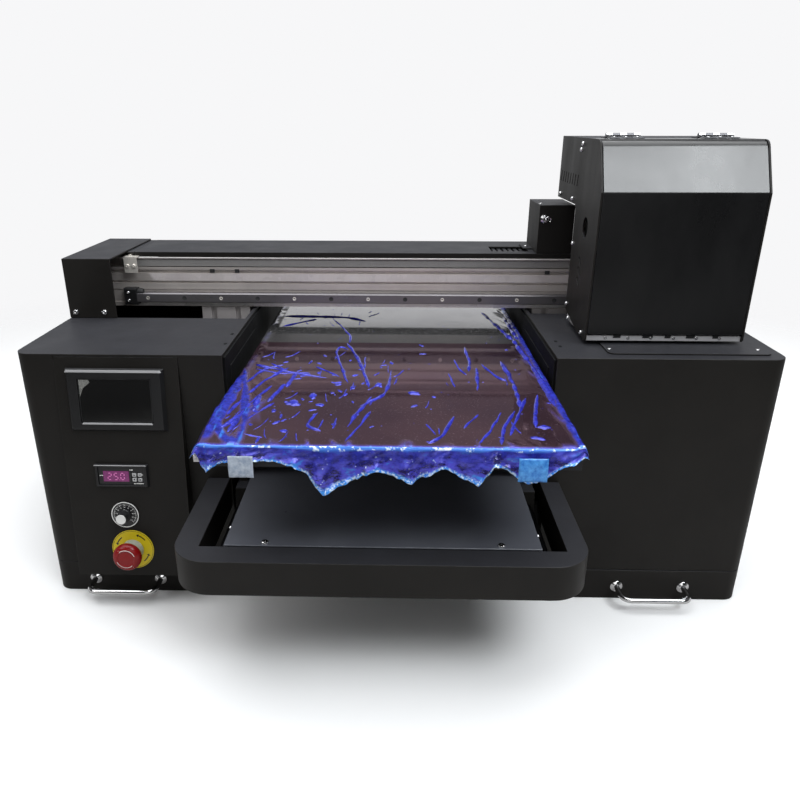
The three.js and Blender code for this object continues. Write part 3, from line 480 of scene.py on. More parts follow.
def tape(name, low, high, alpha):
    """Adhesive tape with a crinkled, slightly yellowed carrier."""
    t = Tree(name)
    crinkle = t.noise(170.0, 5.0, 0.65)
    tone = t.colours(t.ramp(crinkle, 0.35, 0.65), low, high)
    t.set(Alpha=alpha, Coat_Weight=0.3, Coat_Roughness=0.1)
    return t.use(tone, t.ramp(crinkle, 0.3, 0.7, 0.28, 0.45), t.bump(crinkle, 0.5, 0.0006))


def display(name, colour, glow):
    """Backlit display part with the faint pixel grid of its cell."""
    t = Tree(name)
    grid = t.ramp(t.cells(1900.0), 0.2, 0.7, 1.0, 0.7)
    tone = t.colours(grid, tuple(c * 0.7 for c in colour), colour)
    t.l.new(tone, t.shader.inputs["Emission Color"])
    t.set(Emission_Strength=glow, Coat_Weight=0.5, Coat_Roughness=0.06)
    smears = t.ramp(t.noise(40.0, 4.0), 0.4, 0.7, 0.12, 0.24)
    return t.use(tone, smears, t.bump(t.noise(60.0), 0.02, 0.0002))


def encoder_look():
    """Milky encoder strip with fine graduation lines."""
    t = Tree("encoder")
    lines = t.noise(1.0, 1.0, 0.5, t.scaled((2600, 4, 4)))
    cloud = t.noise(16.0, 4.0, 0.6)
    tone = t.colours(t.ramp(t.plus(cloud, t.times(lines, 0.3)), 0.45, 0.95),
                     (0.44, 0.40, 0.40), (0.60, 0.56, 0.55))
    t.set(Coat_Weight=0.6, Coat_Roughness=0.08)
    return t.use(tone, t.ramp(cloud, 0.35, 0.7, 0.2, 0.36), t.bump(lines, 0.1, 0.0001))


PLATE_FRONT, PLATE_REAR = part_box("table_plate")[0].y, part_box("table_plate")[1].y
BARE_FROM = PLATE_FRONT + 0.62 * (PLATE_REAR - PLATE_FRONT)   # from here on the film is clear
FILM = film_look()
CREASE = crease_look()
MATERIALS["blue_film"] = FILM
TAPE_WHITE = tape("tape_white", (0.26, 0.32, 0.42), (0.50, 0.56, 0.64), 0.92)
TAPE_BLUE = tape("tape_blue", (0.02, 0.17, 0.60), (0.10, 0.40, 0.86), 0.9)
CLEAR_FILM = tape("clear_film", (0.30, 0.30, 0.28), (0.44, 0.44, 0.42), 0.35)
DISPLAY_TINT = display("display_tint", (0.16, 0.012, 0.11), 0.15)
DISPLAY_LIT = display("display_lit", (0.50, 0.12, 0.34), 0.35)
# light grey paint for strips that stand in for highlights on the console's edges
LIP_HIGHLIGHT_GREY = painted("lip_highlight_grey", (0.34, 0.34, 0.35), (0.48, 0.48, 0.49), (0.28, 0.4), 0.05, 2200, 0.3, 0.05)
# painted light: a lighter, bluish copy of the cover paint, so the bed plate in the table's shade reads as lit
BED_LIGHTENED_COAT = painted("bed_lightened_coat", (0.082, 0.087, 0.104), (0.130, 0.136, 0.156), (0.24, 0.40), 0.10, 900, 0.4,
                   0.5)
ENCODER = encoder_look()
# polished aluminium, light enough to serve as painted highlight strips on the beam's edges
POLISHED_HIGHLIGHT = metal("polished_highlight_aluminium", (0.74, 0.72, 0.71), (0.2, 0.32), "x", 0.1, 0.06, 0.0, 0.35)
BRIGHT_STEEL = metal("bright_steel", (0.80, 0.76, 0.70), (0.22, 0.36), None, 0.1, 0.1, 0.0, 0.45)
# painted light: a less metallic, lighter-looking steel so the uprights in the shade under the beam read as
# lit
POST_LIGHTENED_STEEL = metal("post_lightened_steel", (0.46, 0.43, 0.43), (0.36, 0.5), "z", 0.1, 0.15, 0.0, 0.35)
HINGE_STEEL = metal("hinge_steel", (0.15, 0.15, 0.16), (0.26, 0.4), None, 0.12, 0.2, 0.0, 0.8)
GUARD_COAT = painted("guard_coat", (0.0040, 0.0040, 0.0042), (0.0080, 0.0080, 0.0082), (0.6, 0.75), 0.12,
                     900, 0.3, 0.05, gloss=0.06)


# ---------- mesh building ----------
CUT_OUT = {"hex": 6, "cross": 4}


class Shape:
    """Gathers vertices and faces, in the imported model's frame, and turns them into one piece."""

    def __init__(self):
        self.verts, self.faces, self.slots, self.values = [], [], [], []

    def add(self, verts, faces, place=Matrix.Identity(4), mat=0):
        """Adds points and faces, placed by a matrix."""
        base = len(self.verts)
        self.verts += [tuple(place @ Vector(v)) for v in verts]
        self.faces += [[base + i for i in face] for face in faces]
        self.slots += [mat] * len(faces)

    def rings(self, rings, place=Matrix.Identity(4), mat=0, closed=True, caps=True):
        """Skins a run of equal point rings; closed rings wrap round, and caps close both ends."""
        n = len(rings[0])
        verts = [p for ring in rings for p in ring]
        faces = []
        for a in range(len(rings) - 1):
            for i in range(n if closed else n - 1):
                j = (i + 1) % n
                faces.append([a * n + i, a * n + j, (a + 1) * n + j, (a + 1) * n + i])
        if closed and caps:
            faces.append(list(range(n))[::-1])
            faces.append([(len(rings) - 1) * n + i for i in range(n)])
        self.add(verts, faces, place, mat)

    def turned(self, profile, place, segments=32, mat=0, caps=True):
        """Solid of revolution about local z from (radius, z) points, bottom to top."""
        angles = [math.tau * i / segments for i in range(segments)]
        rings = [[(r * math.cos(a), r * math.sin(a), z) for a in angles] for r, z in profile]
        self.rings(rings, place, mat, caps=caps)

    def prism(self, outline, z0, z1, place=Matrix.Identity(4), mat=0, chamfer=0.0):
        """Outline (x, y) counter-clockwise, extruded along local z, with a small chamfer round its top."""
        rings = [[(x, y, z0) for x, y in outline]]
        if chamfer:
            cx = sum(x for x, _ in outline) / len(outline)
            cy = sum(y for _, y in outline) / len(outline)
            top = []
            for x, y in outline:
                d = math.hypot(x - cx, y - cy) or 1.0
                k = 1 - chamfer * 1.3 / d
                top.append((cx + (x - cx) * k, cy + (y - cy) * k, z1))
            rings += [[(x, y, z1 - chamfer) for x, y in outline], top]
        else:
            rings.append([(x, y, z1) for x, y in outline])
        self.rings(rings, place, mat)

    def block(self, lo, hi, place=Matrix.Identity(4), mat=0, chamfer=0.0):
        """Box between two corners, its top edges chamfered."""
        (x0, y0, z0), (x1, y1, z1) = lo, hi
        self.prism([(x0, y0), (x1, y0), (x1, y1), (x0, y1)], z0, z1, place, mat, chamfer)

    def tube(self, points, radius, segments):
        """Round bar along a run of points."""
        points = [Vector(p) for p in points]
        side, rings = None, []
        for i, p in enumerate(points):
            ahead = (points[min(i + 1, len(points) - 1)] - points[max(i - 1, 0)]).normalized()
            if side is None:
                side = ahead.orthogonal().normalized()
            side = (side - ahead * side.dot(ahead)).normalized()
            up = ahead.cross(side)
            rings.append([tuple(p + (side * math.cos(a) + up * math.sin(a)) * radius)
                          for a in (math.tau * k / segments for k in range(segments))])
        self.rings(rings)

    def screw(self, place, r=3.2 * MM, kind="hex", mat=0, height=0.62):
        """Button-head screw with a real drive recess; local z points out of the surface."""
        n = 24
        angles = [math.tau * i / n for i in range(n)]
        sides = CUT_OUT[kind]
        wedge = math.tau / sides

        def recess(a):
            if kind == "hex":
                return 0.40 * r / math.cos((a % wedge) - wedge / 2)
            arm = min(abs((a + wedge / 2) % wedge - wedge / 2) * 3.2, 1.0)
            return r * (0.58 - 0.40 * arm)

        rings = [[(k * r * math.cos(a), k * r * math.sin(a), z * r) for a in angles]
                 for k, z in ((1.0, 0.0), (1.0, height * 0.35), (0.9, height * 0.75), (0.7, height))]
        for z in (height, height - 0.34):
            rings.append([(recess(a) * math.cos(a), recess(a) * math.sin(a), z * r) for a in angles])
        self.rings(rings, place, mat)

    def piece(self, name, body, materials, sharp=32, attribute=None):
        """Makes the object and lets it ride on a body; edges over the sharp angle, in degrees, stay sharp."""
        mesh = bpy.data.meshes.new(name)
        mesh.from_pydata(self.verts, [], self.faces)
        for m in materials if isinstance(materials, (list, tuple)) else [materials]:
            mesh.materials.append(m)
        mesh.polygons.foreach_set("material_index", self.slots)
        if attribute:
            layer = mesh.attributes.new(attribute, "FLOAT", "POINT")
            layer.data.foreach_set("value", self.values)
        bm = bmesh.new()
        bm.from_mesh(mesh)
        bmesh.ops.recalc_face_normals(bm, faces=bm.faces)
        bm.to_mesh(mesh)
        bm.free()
        mesh.shade_smooth()
        mesh.set_sharp_from_angle(angle=math.radians(sharp))
        obj = bpy.data.objects.new(name, mesh)
        bpy.context.scene.collection.objects.link(obj)
        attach(obj, body)
        return obj


def facing(point, normal, turn=0.0):
    """Placement at a point with local z along the normal and local x level."""
    z = Vector(normal).normalized()
    x = Vector((0, 0, 1)).cross(z)
    x = x.normalized() if x.length > 1e-6 else Vector((1, 0, 0))
    y = z.cross(x)
    basis = Matrix((x, y, z)).transposed().to_4x4()
    return Matrix.Translation(Vector(point)) @ basis @ Matrix.Rotation(turn, 4, "Z")


def centre(name):
    """Middle of a CAD node's box."""
    lo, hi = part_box(name)
    return (lo + hi) / 2


# ---------- rounded edges on the CAD nodes ----------
EDGE_ANGLE = math.radians(24)


def smooth_group():
    """Node group: smooth faces, with sharp edges where the bend is more than the edge angle."""
    group = bpy.data.node_groups.new("smooth_by_angle", "GeometryNodeTree")
    group.interface.new_socket("Geometry", in_out="INPUT", socket_type="NodeSocketGeometry")
    group.interface.new_socket("Geometry", in_out="OUTPUT", socket_type="NodeSocketGeometry")
    n, l = group.nodes, group.links
    start, end = n.new("NodeGroupInput"), n.new("NodeGroupOutput")
    faces, edges = n.new("GeometryNodeSetShadeSmooth"), n.new("GeometryNodeSetShadeSmooth")
    faces.domain, edges.domain = "FACE", "EDGE"
    edges.inputs["Shade Smooth"].default_value = False
    angle, compare = n.new("GeometryNodeInputMeshEdgeAngle"), n.new("FunctionNodeCompare")
    compare.operation = "GREATER_THAN"
    compare.inputs[1].default_value = EDGE_ANGLE
    l.new(start.outputs[0], faces.inputs["Geometry"])
    l.new(faces.outputs[0], edges.inputs["Geometry"])
    l.new(angle.outputs["Unsigned Angle"], compare.inputs[0])
    l.new(compare.outputs[0], edges.inputs["Selection"])
    l.new(edges.outputs[0], end.inputs[0])
    return group


SMOOTH = smooth_group()
FINE_EDGE, SHEET_EDGE, SOFT_EDGE, BENT_EDGE = 0.3 * MM, 0.7 * MM, 1.1 * MM, 1.8 * MM
EDGE_WIDTHS = {
    "left_cover": BENT_EDGE, "right_cover": BENT_EDGE, "carriage_lid": BENT_EDGE,
    "front_tray": SOFT_EDGE, "gantry_end_cover": SOFT_EDGE,
    "carriage_side_left": 0.5 * MM, "carriage_side_right": 0.5 * MM, "hmi_bezel": 0.5 * MM,
    "x_beam": 0.4 * MM,
}
for sheet_node in ("base_pan", "control_console", "bed_cover", "rear_top_cover", "chain_box",
                   "carriage_rear_cover", "table_plate", "upright_left", "upright_right", "lift_base",
                   "power_supply", "x_motor", "y_motor"):
    EDGE_WIDTHS[sheet_node] = SHEET_EDGE


def modifier(obj, kind, name, **values):
    """Adds a modifier with the given settings."""
    mod = obj.modifiers.new(name, kind)
    for key, value in values.items():
        setattr(mod, key, value)
    return mod


def round_edges(name, obj):
    """Rounds the edges of a CAD node with modifiers, which leave its own mesh as it is."""
    modifier(obj, "WELD", "weld", merge_threshold=0.02 * MM)
    modifier(obj, "DECIMATE", "flat faces", decimate_type="DISSOLVE", angle_limit=math.radians(0.6))
    modifier(obj, "BEVEL", "edge", width=EDGE_WIDTHS.get(name, FINE_EDGE), segments=3, limit_method="ANGLE",
             angle_limit=EDGE_ANGLE, use_clamp_overlap=True)
    modifier(obj, "NODES", "smooth", node_group=SMOOTH)
    modifier(obj, "WEIGHTED_NORMAL", "normals", keep_sharp=True, weight=50)


for part in frame["record"]["subparts"]:
    node = nodes[part["node"]]
    if part["material_slot"] in MATERIALS:
        node.data.materials.clear()
        node.data.materials.append(MATERIALS[part["material_slot"]])
    round_edges(part["node"], node)
# the bed plate takes the lighter painted-light copy of the cover paint
nodes["bed_cover"].data.materials[0] = BED_LIGHTENED_COAT
nodes["bed_frame"].data.materials[0] = GUARD_COAT
for side in ("left", "right"):
    nodes[f"{side}_guard"].data.materials[0] = GUARD_COAT
    nodes[f"lid_hinge_{side}"].data.materials[0] = HINGE_STEEL
    # the uprights take the painted-light steel
    nodes[f"upright_{side}"].data.materials[0] = POST_LIGHTENED_STEEL


# ---------- operator console ----------
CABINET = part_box("left_cover")
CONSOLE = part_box("control_console")
TILT = math.atan2(CABINET[0].y - CONSOLE[0].y, CABINET[1].z - CONSOLE[0].z)


def on_panel(x, z, out=0.0):
    """Placement on the sloping console face: local x right, local y up the slope, local z out of it."""
    y = CABINET[0].y - (CABINET[1].z - z) * math.tan(TILT)
    tip = Matrix.Rotation(math.pi / 2 - TILT, 4, "X")
    return Matrix.Translation((x, y, z)) @ tip @ Matrix.Translation((0, 0, out))


def ring_shape(shape, r0, r1, z0, z1, place, mat=0, segments=48):
    """Flat ring from radius r0 to r1 with slightly broken edges."""
    c = min(0.12 * MM, (z1 - z0) * 0.3)
    profile = [(r0, z0), (r1, z0), (r1, z1 - c), (r1 - c, z1), (r0 + c, z1), (r0, z1 - c), (r0, z0)]
    shape.turned(profile, place, segments, mat, caps=False)


def seven_segments(shape, digit, x, y, height, place, mat=0, z=mm(0.0, 0.25)):
    """One display digit from its lit bars."""
    w, t = height * 0.5, height * 0.13
    lit = {0: "abcdef", 1: "bc", 2: "abged", 3: "abgcd", 4: "fgbc", 5: "afgcd", 6: "afgedc", 7: "abc",
           8: "abcdefg", 9: "abcdfg"}[digit]
    level = {"a": (0, height / 2), "g": (0, 0), "d": (0, -height / 2)}
    upright = {"b": (w / 2, height / 4), "c": (w / 2, -height / 4), "e": (-w / 2, -height / 4),
               "f": (-w / 2, height / 4)}
    for bar in lit:
        dx, dy = level.get(bar) or upright[bar]
        a, b = (w / 2 - t * 0.7, t / 2) if bar in level else (t / 2, height / 4 - t * 0.7)
        px, py = x + dx, y + dy
        outline = [(px - a, py - b), (px + a, py - b), (px + a, py + b), (px - a, py + b)]
        shape.prism(outline, z[0], z[1], place, mat)


def touch_panel():
    """Screen gasket, the corner of a half-peeled screen film and light grey strips painted as highlights on
    the bezel's lips.
    """
    at = centre("hmi_screen")
    half = (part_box("hmi_screen")[1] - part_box("hmi_screen")[0]) / 2
    tall = half.z / math.cos(TILT)
    place = on_panel(at.x, at.z)
    gasket = Shape()
    w, h, t = half.x - 0.4 * MM, tall - 0.9 * MM, 1.1 * MM
    z0, z1 = 5.45 * MM, 5.9 * MM
    for lo, hi in (((-w, -h, z0), (w, -h + t, z1)), ((-w, h - t, z0), (w, h, z1)),
                   ((-w, -h + t, z0), (-w + t, h - t, z1)), ((w - t, -h + t, z0), (w, h - t, z1))):
        gasket.block(lo, hi, place, 0, 0.2 * MM)
    gasket.piece("hmi_gasket", "chassis", MATERIALS["black_plastic"])

    film = Shape()
    outline = []
    for dx, dz in ((0, 24), (5, 12), (15, 4), (13, 0), (0, 0)):
        outline.append((-w + t + dx * MM, h - t - dz * MM))
    film.prism(outline, 5.5 * MM, 5.62 * MM, place)
    film.piece("hmi_screen_film", "chassis", CLEAR_FILM)

    strip = Shape()   # light grey strips painted as highlights on the lips above the bezel and under the window
    wide, high = 64.5 * MM, 43.5 * MM
    strip.prism([(-wide, high - 4.6 * MM), (wide, high - 4.6 * MM), (wide - 1.5 * MM, high - 1.6 * MM),
                 (-wide + 1.5 * MM, high - 1.6 * MM)], 5.6 * MM, 7.25 * MM, place, 0, 0.4 * MM)
    strip.prism([(-w + 0.6 * MM, -h - 3.4 * MM), (w - 0.6 * MM, -h - 3.4 * MM), (w - 2 * MM, -h - 0.9 * MM),
                 (-w + 2 * MM, -h - 0.9 * MM)], 6.9 * MM, 7.25 * MM, place, 0, 0.15 * MM)
    strip.piece("hmi_highlight_lips", "chassis", LIP_HIGHLIGHT_GREY)


def thermostat():
    """Face plate, tinted window with lit digits, a light grey strip painted as the highlight of the upper
    edge, and plain marks in place of legends.
    """
    body = centre("thermostat_body")
    keys = [centre(f"thermostat_key_{i}") for i in (1, 2, 3, 4)]
    z = sum(k.z for k in keys) / 4 + 1.8 * MM
    place = on_panel(body.x, z)
    face = Shape()
    # face plate round the keys and the window, in strips so that the keys stay free
    x_keys = sorted({round(k.x - body.x, 5) for k in keys})
    left, right = x_keys[0] - 4.2 * MM, x_keys[-1] + 4.2 * MM
    z0, z1 = 2.05 * MM, 3.0 * MM
    wide, high = 32.2 * MM, 12.7 * MM
    for x0, x1, y0, y1 in ((-wide, left, -high, high), (right, wide, -high, high),
                           (left, right, 5.5 * MM, high), (left, right, -high, -9.2 * MM)):
        face.block((x0, y0, z0), (x1, y1, z1), place, 0, 0.2 * MM)
    face.piece("thermostat_face", "chassis", MATERIALS["dial_face"])

    window = Shape()
    wx = body.x - 7.7 * MM
    at = on_panel(wx, z - 0.6 * MM)
    window.block(mm(-18, -7.8, 3.02), mm(18, 7.8, 3.5), at, 0, 0.25 * MM)
    window.piece("thermostat_window", "chassis", DISPLAY_TINT)
    digits = Shape()
    for i, d in enumerate((2, 5, 0)):
        seven_segments(digits, d, (-9 + i * 9) * MM, 0.0, 9.5 * MM, at, 0, mm(3.5, 3.62))
    digits.prism([mm(4.4, -5.2), mm(5.4, -5.2), mm(5.4, -4.2), mm(4.4, -4.2)], 3.5 * MM, 3.62 * MM, at)
    digits.piece("thermostat_digits", "chassis", DISPLAY_LIT)

    lip = Shape()   # light grey strip painted as the highlight of the housing's upper edge
    lip.prism([mm(-37, 15.4), mm(36, 15.4), mm(35, 16.6), mm(-36.4, 16.6)], 5.02 * MM, 5.3 * MM, place, 0,
              0.1 * MM)
    lip.piece("thermostat_highlight_lip", "chassis", LIP_HIGHLIGHT_GREY)

    marks = Shape()
    for x, y, w, h in ((-28.5, 0.4, 2.6, 0.5), (13.2, 9.0, 1.6, 0.6), (15.4, 9.0, 0.8, 0.8),
                       (24.5, -11.2, 5.5, 0.6), (18.5, -11.2, 2.2, 0.6), (29.0, 2.0, 0.6, 0.6)):
        marks.block(((x - w) * MM, (y - h) * MM, z1), ((x + w) * MM, (y + h) * MM, z1 + 0.08 * MM), place)
    marks.piece("thermostat_marks", "chassis", MATERIALS["knob_white"])
    for i, key in enumerate(keys):
        arrow = Shape()
        top = on_panel(key.x, key.z, 3.4 * MM)
        s = 1.25 * MM
        kinds = ([(-s, -s), (s, -s), (0, s)], [(-s, s), (0, -s), (s, s)][::-1],
                 [(-s, -s * 0.35), (s, -s * 0.35), (s, s * 0.35), (-s, s * 0.35)],
                 [(s * math.cos(a), s * math.sin(a)) for a in (math.tau * k / 12 for k in range(12))])
        arrow.prism(kinds[i], 0.0, 0.07 * MM, top)
        arrow.piece(f"key_mark_{i + 1}", f"thermostat_key_{i + 1}", MATERIALS["dial_face"])


def digit_mesh(shape, text, size, place):
    """Adds flat numerals from the built-in font."""
    curve = bpy.data.curves.new("numeral", "FONT")
    curve.body, curve.size, curve.align_x, curve.align_y = text, size, "CENTER", "CENTER"
    curve.extrude = 0.05 * MM
    curve.resolution_u = 3
    holder = bpy.data.objects.new("numeral", curve)
    bpy.context.scene.collection.objects.link(holder)
    made = holder.to_mesh()
    shape.add([tuple(v.co) for v in made.vertices], [list(p.vertices) for p in made.polygons], place)
    holder.to_mesh_clear()
    bpy.data.objects.remove(holder)
    bpy.data.curves.remove(curve)


def potentiometer_dial():
    """Printed scale with numbers, and the knurled knob with its white cap and pointer line."""
    at = centre("dial_plate")
    place = on_panel(at.x, at.z)
    top = 1.9 * MM
    face = Shape()
    ring_shape(face, 18.2 * MM, 19.4 * MM, top, top + 0.35 * MM, place, 0, 64)
    start, sweep, steps = math.radians(225), math.radians(270), 50
    for i in range(steps + 1):
        a = start - sweep * i / steps
        major = i % 5 == 0
        r0, r1, w = (13.4 if major else 14.6) * MM, 16.2 * MM, (0.28 if major else 0.14) * MM
        c, s = math.cos(a), math.sin(a)
        corners = [(r0, -w), (r1, -w), (r1, w), (r0, w)]
        face.prism([(x * c - y * s, x * s + y * c) for x, y in corners], top, top + 0.08 * MM, place)
    for i in range(11):
        a = start - sweep * i / 10
        at_mark = Matrix.Translation((11.4 * MM * math.cos(a), 11.4 * MM * math.sin(a), top + 0.05 * MM))
        digit_mesh(face, str(i * 10), 2.3 * MM, place @ at_mark)
    face.piece("dial_scale", "chassis", MATERIALS["knob_white"])

    knob = Shape()
    n = 48

    rings = []
    for r, z, knurl in ((3, -14, 0), (3, 2.1, 0), (8.6, 2.1, 0), (9, 2.5, 0), (9, 4.6, 0), (8.4, 5.4, 0),
                        (8.0, 5.6, 0.35), (7.6, 17.4, 0.35), (7.3, 17.9, 0)):
        ring = []
        for k in range(n):
            a, radius = math.tau * k / n, r * MM - knurl * MM * (k % 2)
            ring.append((radius * math.cos(a), radius * math.sin(a), z * MM))
        rings.append(ring)
    knob.rings(rings, place, 0)
    knob.turned([mm(6.9, 17.9), mm(7.0, 18.7), mm(6.6, 19.0), mm(5.2, 18.85), mm(0.05, 18.8)], place, 48, 1)
    knob.block(mm(-0.35, 8.0, 3), mm(0.35, 9.05, 4.7), place, 1)
    made = knob.piece("dial_knob_turned", "dial_knob", [MATERIALS["dial_face"], MATERIALS["knob_white"]],
                      28)
    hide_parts("dial_knob")


def emergency_stop():
    """Label print and the mushroom head with its twist arrows."""
    at = centre("estop_label")
    place = on_panel(at.x, at.z)
    rim = Shape()
    ring_shape(rim, 28.3 * MM, 28.8 * MM, 1.2 * MM, 1.26 * MM, place, 0, 72)
    for k in range(4):   # plain turn arrows in place of words
        a0 = math.radians(38 + 90 * k)
        spine = [a0 + math.radians(2.6) * i for i in range(12)]
        outer = [(24.2 * MM * math.cos(a), 24.2 * MM * math.sin(a)) for a in spine]
        inner = [(22.6 * MM * math.cos(a), 22.6 * MM * math.sin(a)) for a in spine]
        rim.prism(outer + inner[::-1], 1.2 * MM, 1.26 * MM, place)
        tip = []
        for r, a in ((26.2, 0.0), (23.4, math.radians(7)), (20.6, 0.0)):
            tip.append((r * MM * math.cos(spine[-1] + a), r * MM * math.sin(spine[-1] + a)))
        rim.prism(tip, 1.2 * MM, 1.26 * MM, place)
    rim.piece("estop_label_print", "chassis", MATERIALS["dial_face"])

    head = Shape()
    profile = [(0.02, 3), (4.7, 3), (4.7, 18.0), (16.2, 18.0), (18.2, 18.7), (19.5, 20.3), (20, 22.4),
               (20, 25.2), (19.6, 27.0), (18.6, 28.6), (16.9, 30.0), (14.8, 31.0), (12.6, 31.5), (11.6, 31.3),
               (11.0, 30.7), (10.2, 30.5), (6, 31.2), (0.02, 31.6)]
    head.turned([(r * MM, z * MM) for r, z in profile], place, 64, 0)
    for k in range(2):   # the two white twist arrows
        a0 = math.radians(20 + 180 * k)
        spine = [a0 + math.radians(6.0) * i for i in range(19)]

        def on_head(r, a, lift=0.10):
            z = 31.45 - max(0.0, r - 12.6) * 0.28
            return (r * MM * math.cos(a), r * MM * math.sin(a), (z + lift) * MM)

        rings = [[on_head(12.7, a, -0.3), on_head(15.0, a, -0.3), on_head(15.0, a), on_head(12.7, a)]
                 for a in spine]
        head.rings(rings, place, 1)
        a = spine[-1]
        tip = [on_head(11.9, a), on_head(16.0, a - 0.02), on_head(13.9, a + math.radians(16))]
        base = [(x, y, z - 0.4 * MM) for x, y, z in tip]
        head.rings([base, tip], place, 1)
    colours = [MATERIALS["safety_red"], MATERIALS["knob_white"]]
    made = head.piece("estop_head_moulded", "estop_head", colours, 40)
    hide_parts("estop_head")


# ---------- carrying handles ----------
def carrying_handle(node):
    """Bent chrome bar with a turned foot at each end."""
    lo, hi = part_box(node)
    r = 4 * MM
    z, reach, bend = (lo.z + hi.z) / 2, lo.y + r, 13 * MM
    flange = 9 * MM
    xa, xb = lo.x + flange, hi.x - flange
    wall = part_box("base_pan")[0].y
    path = [(xa, wall - 1.0 * MM, z), (xa, wall - 6 * MM, z)]
    for i in range(9):
        a = math.pi / 2 * i / 8
        path.append((xa + bend * (1 - math.cos(a)), reach + bend * (1 - math.sin(a)), z))
    for i in range(9):
        a = math.pi / 2 * (1 - i / 8)
        path.append((xb - bend * (1 - math.cos(a)), reach + bend * (1 - math.sin(a)), z))
    path += [(xb, wall - 6 * MM, z), (xb, wall - 1.0 * MM, z)]
    bar = Shape()
    bar.tube(path, r, 20)
    for x in (xa, xb):
        at = facing((x, wall - 0.3 * MM, z), (0, -1, 0)) @ Matrix.Scale(MM, 4)
        foot = [(9, 0), (9, 1.6), (8.3, 2.4), (6.6, 2.9), (6.0, 3.6), (4.4, 4.0), (4.05, 5.2), (4.0, 6.5)]
        bar.turned(foot, at, 36)
    made = bar.piece(node + "_bar", "chassis", MATERIALS["chrome"], 38)
    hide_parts(node)


# ---------- gantry fittings ----------
UP, FRONTWARD, REARWARD = (0, 0, 1), (0, -1, 0), (0, 1, 0)
BEAM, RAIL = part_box("x_beam"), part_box("x_rail")
BEAM_LEFT, BEAM_RIGHT = BEAM[0].x, BEAM[1].x
BEAM_FACE, BEAM_TOP = BEAM[0].y, BEAM[1].z
RAIL_Z = (RAIL[0].z + RAIL[1].z) / 2
RAIL_PITCH = 60 * MM


def spot(box, pick, dx=0.0, dy=0.0, dz=0.0):
    """Point at an offset in millimetres from a corner of a box; pick has 0 (low) or 1 (high) per axis."""
    return tuple(box[p][k] + d * MM for k, (p, d) in enumerate(zip(pick, (dx, dy, dz))))


def encoder_strip():
    """Encoder strip, bonded in the wide groove, with a slanted left end."""
    x0, x1 = BEAM_LEFT + 100 * MM, BEAM_RIGHT - 4 * MM
    z0, z1 = BEAM_TOP - 38 * MM, BEAM_TOP - 26 * MM
    corners = ((x0, z0), (x1, z0), (x1, z1), (x0 - 7 * MM, z1))
    strip = Shape()
    strip.rings([[(x, y, z) for x, z in corners] for y in (BEAM_FACE, BEAM_FACE - 0.25 * MM)])
    strip.piece("encoder_strip", "chassis", ENCODER)


def beam_highlight_lips():
    """Polished edges of the extrusion, as light metal strips that are partly painted highlights."""
    x0, x1 = BEAM_LEFT + 63 * MM, BEAM_RIGHT - 2 * MM
    lips = Shape()
    for z0, z1, out in ((BEAM_TOP - 1.6 * MM, BEAM_TOP - 0.1 * MM, 0.5),
                        (BEAM[0].z + 0.3 * MM, BEAM[0].z + 5.6 * MM, 0.35)):
        lips.rings([[(x0, y, z0 + inset), (x1, y, z0 + inset), (x1, y, z1 - inset), (x0, y, z1 - inset)]
                    for y, inset in ((BEAM_FACE, 0.0), (BEAM_FACE - out * MM, 0.3 * MM))])
    lips.piece("beam_highlight_lips", "chassis", POLISHED_HIGHLIGHT)


def slot_nuts():
    """Slot nuts that hold the encoder strip's read track."""
    nuts = Shape()
    for dx in (197.9, 238.4, 739.7):
        at = facing((BEAM_LEFT + dx * MM, BEAM_FACE, BEAM_TOP - 21.5 * MM), FRONTWARD)
        nuts.block(mm(-3.8, -2.9, 0), mm(3.8, 2.9, 0.6), at, 0, 0.3 * MM)
    nuts.piece("beam_slot_nuts", "chassis", MATERIALS["cap_rubber"])


def rail_bolts():
    """Rail bolts: open counterbores and filled ones in turn."""
    plug = [mm(3.5, 0), mm(3.5, 0.1), mm(3.2, 0.2), mm(3.0, 0.08), mm(0.02, 0.06)]
    head = [mm(2.9, 0), mm(2.9, 0.1), mm(2.6, 0.2), mm(1.9, 0.22), mm(1.7, 0.08), mm(0.02, 0.06)]
    slot = [mm(-1.6, -0.5), mm(1.6, -0.5), mm(1.2, 0.9), mm(-1.2, 0.9)]
    first, last = BEAM_LEFT + 92 * MM, BEAM_RIGHT - 20 * MM
    bolts = Shape()
    for k in range(math.ceil((last - first) / RAIL_PITCH)):
        at = facing((first + k * RAIL_PITCH, RAIL[0].y, RAIL_Z), FRONTWARD)
        if k % 2:
            bolts.turned(plug, at, 24, 1)
        else:
            bolts.turned(head, at, 24, 2)
            bolts.prism(slot, 0.1 * MM, 0.26 * MM, at, 1)
    bolts.piece("rail_bolts", "chassis", [MATERIALS["chrome"], MATERIALS["cap_rubber"], BRIGHT_STEEL])


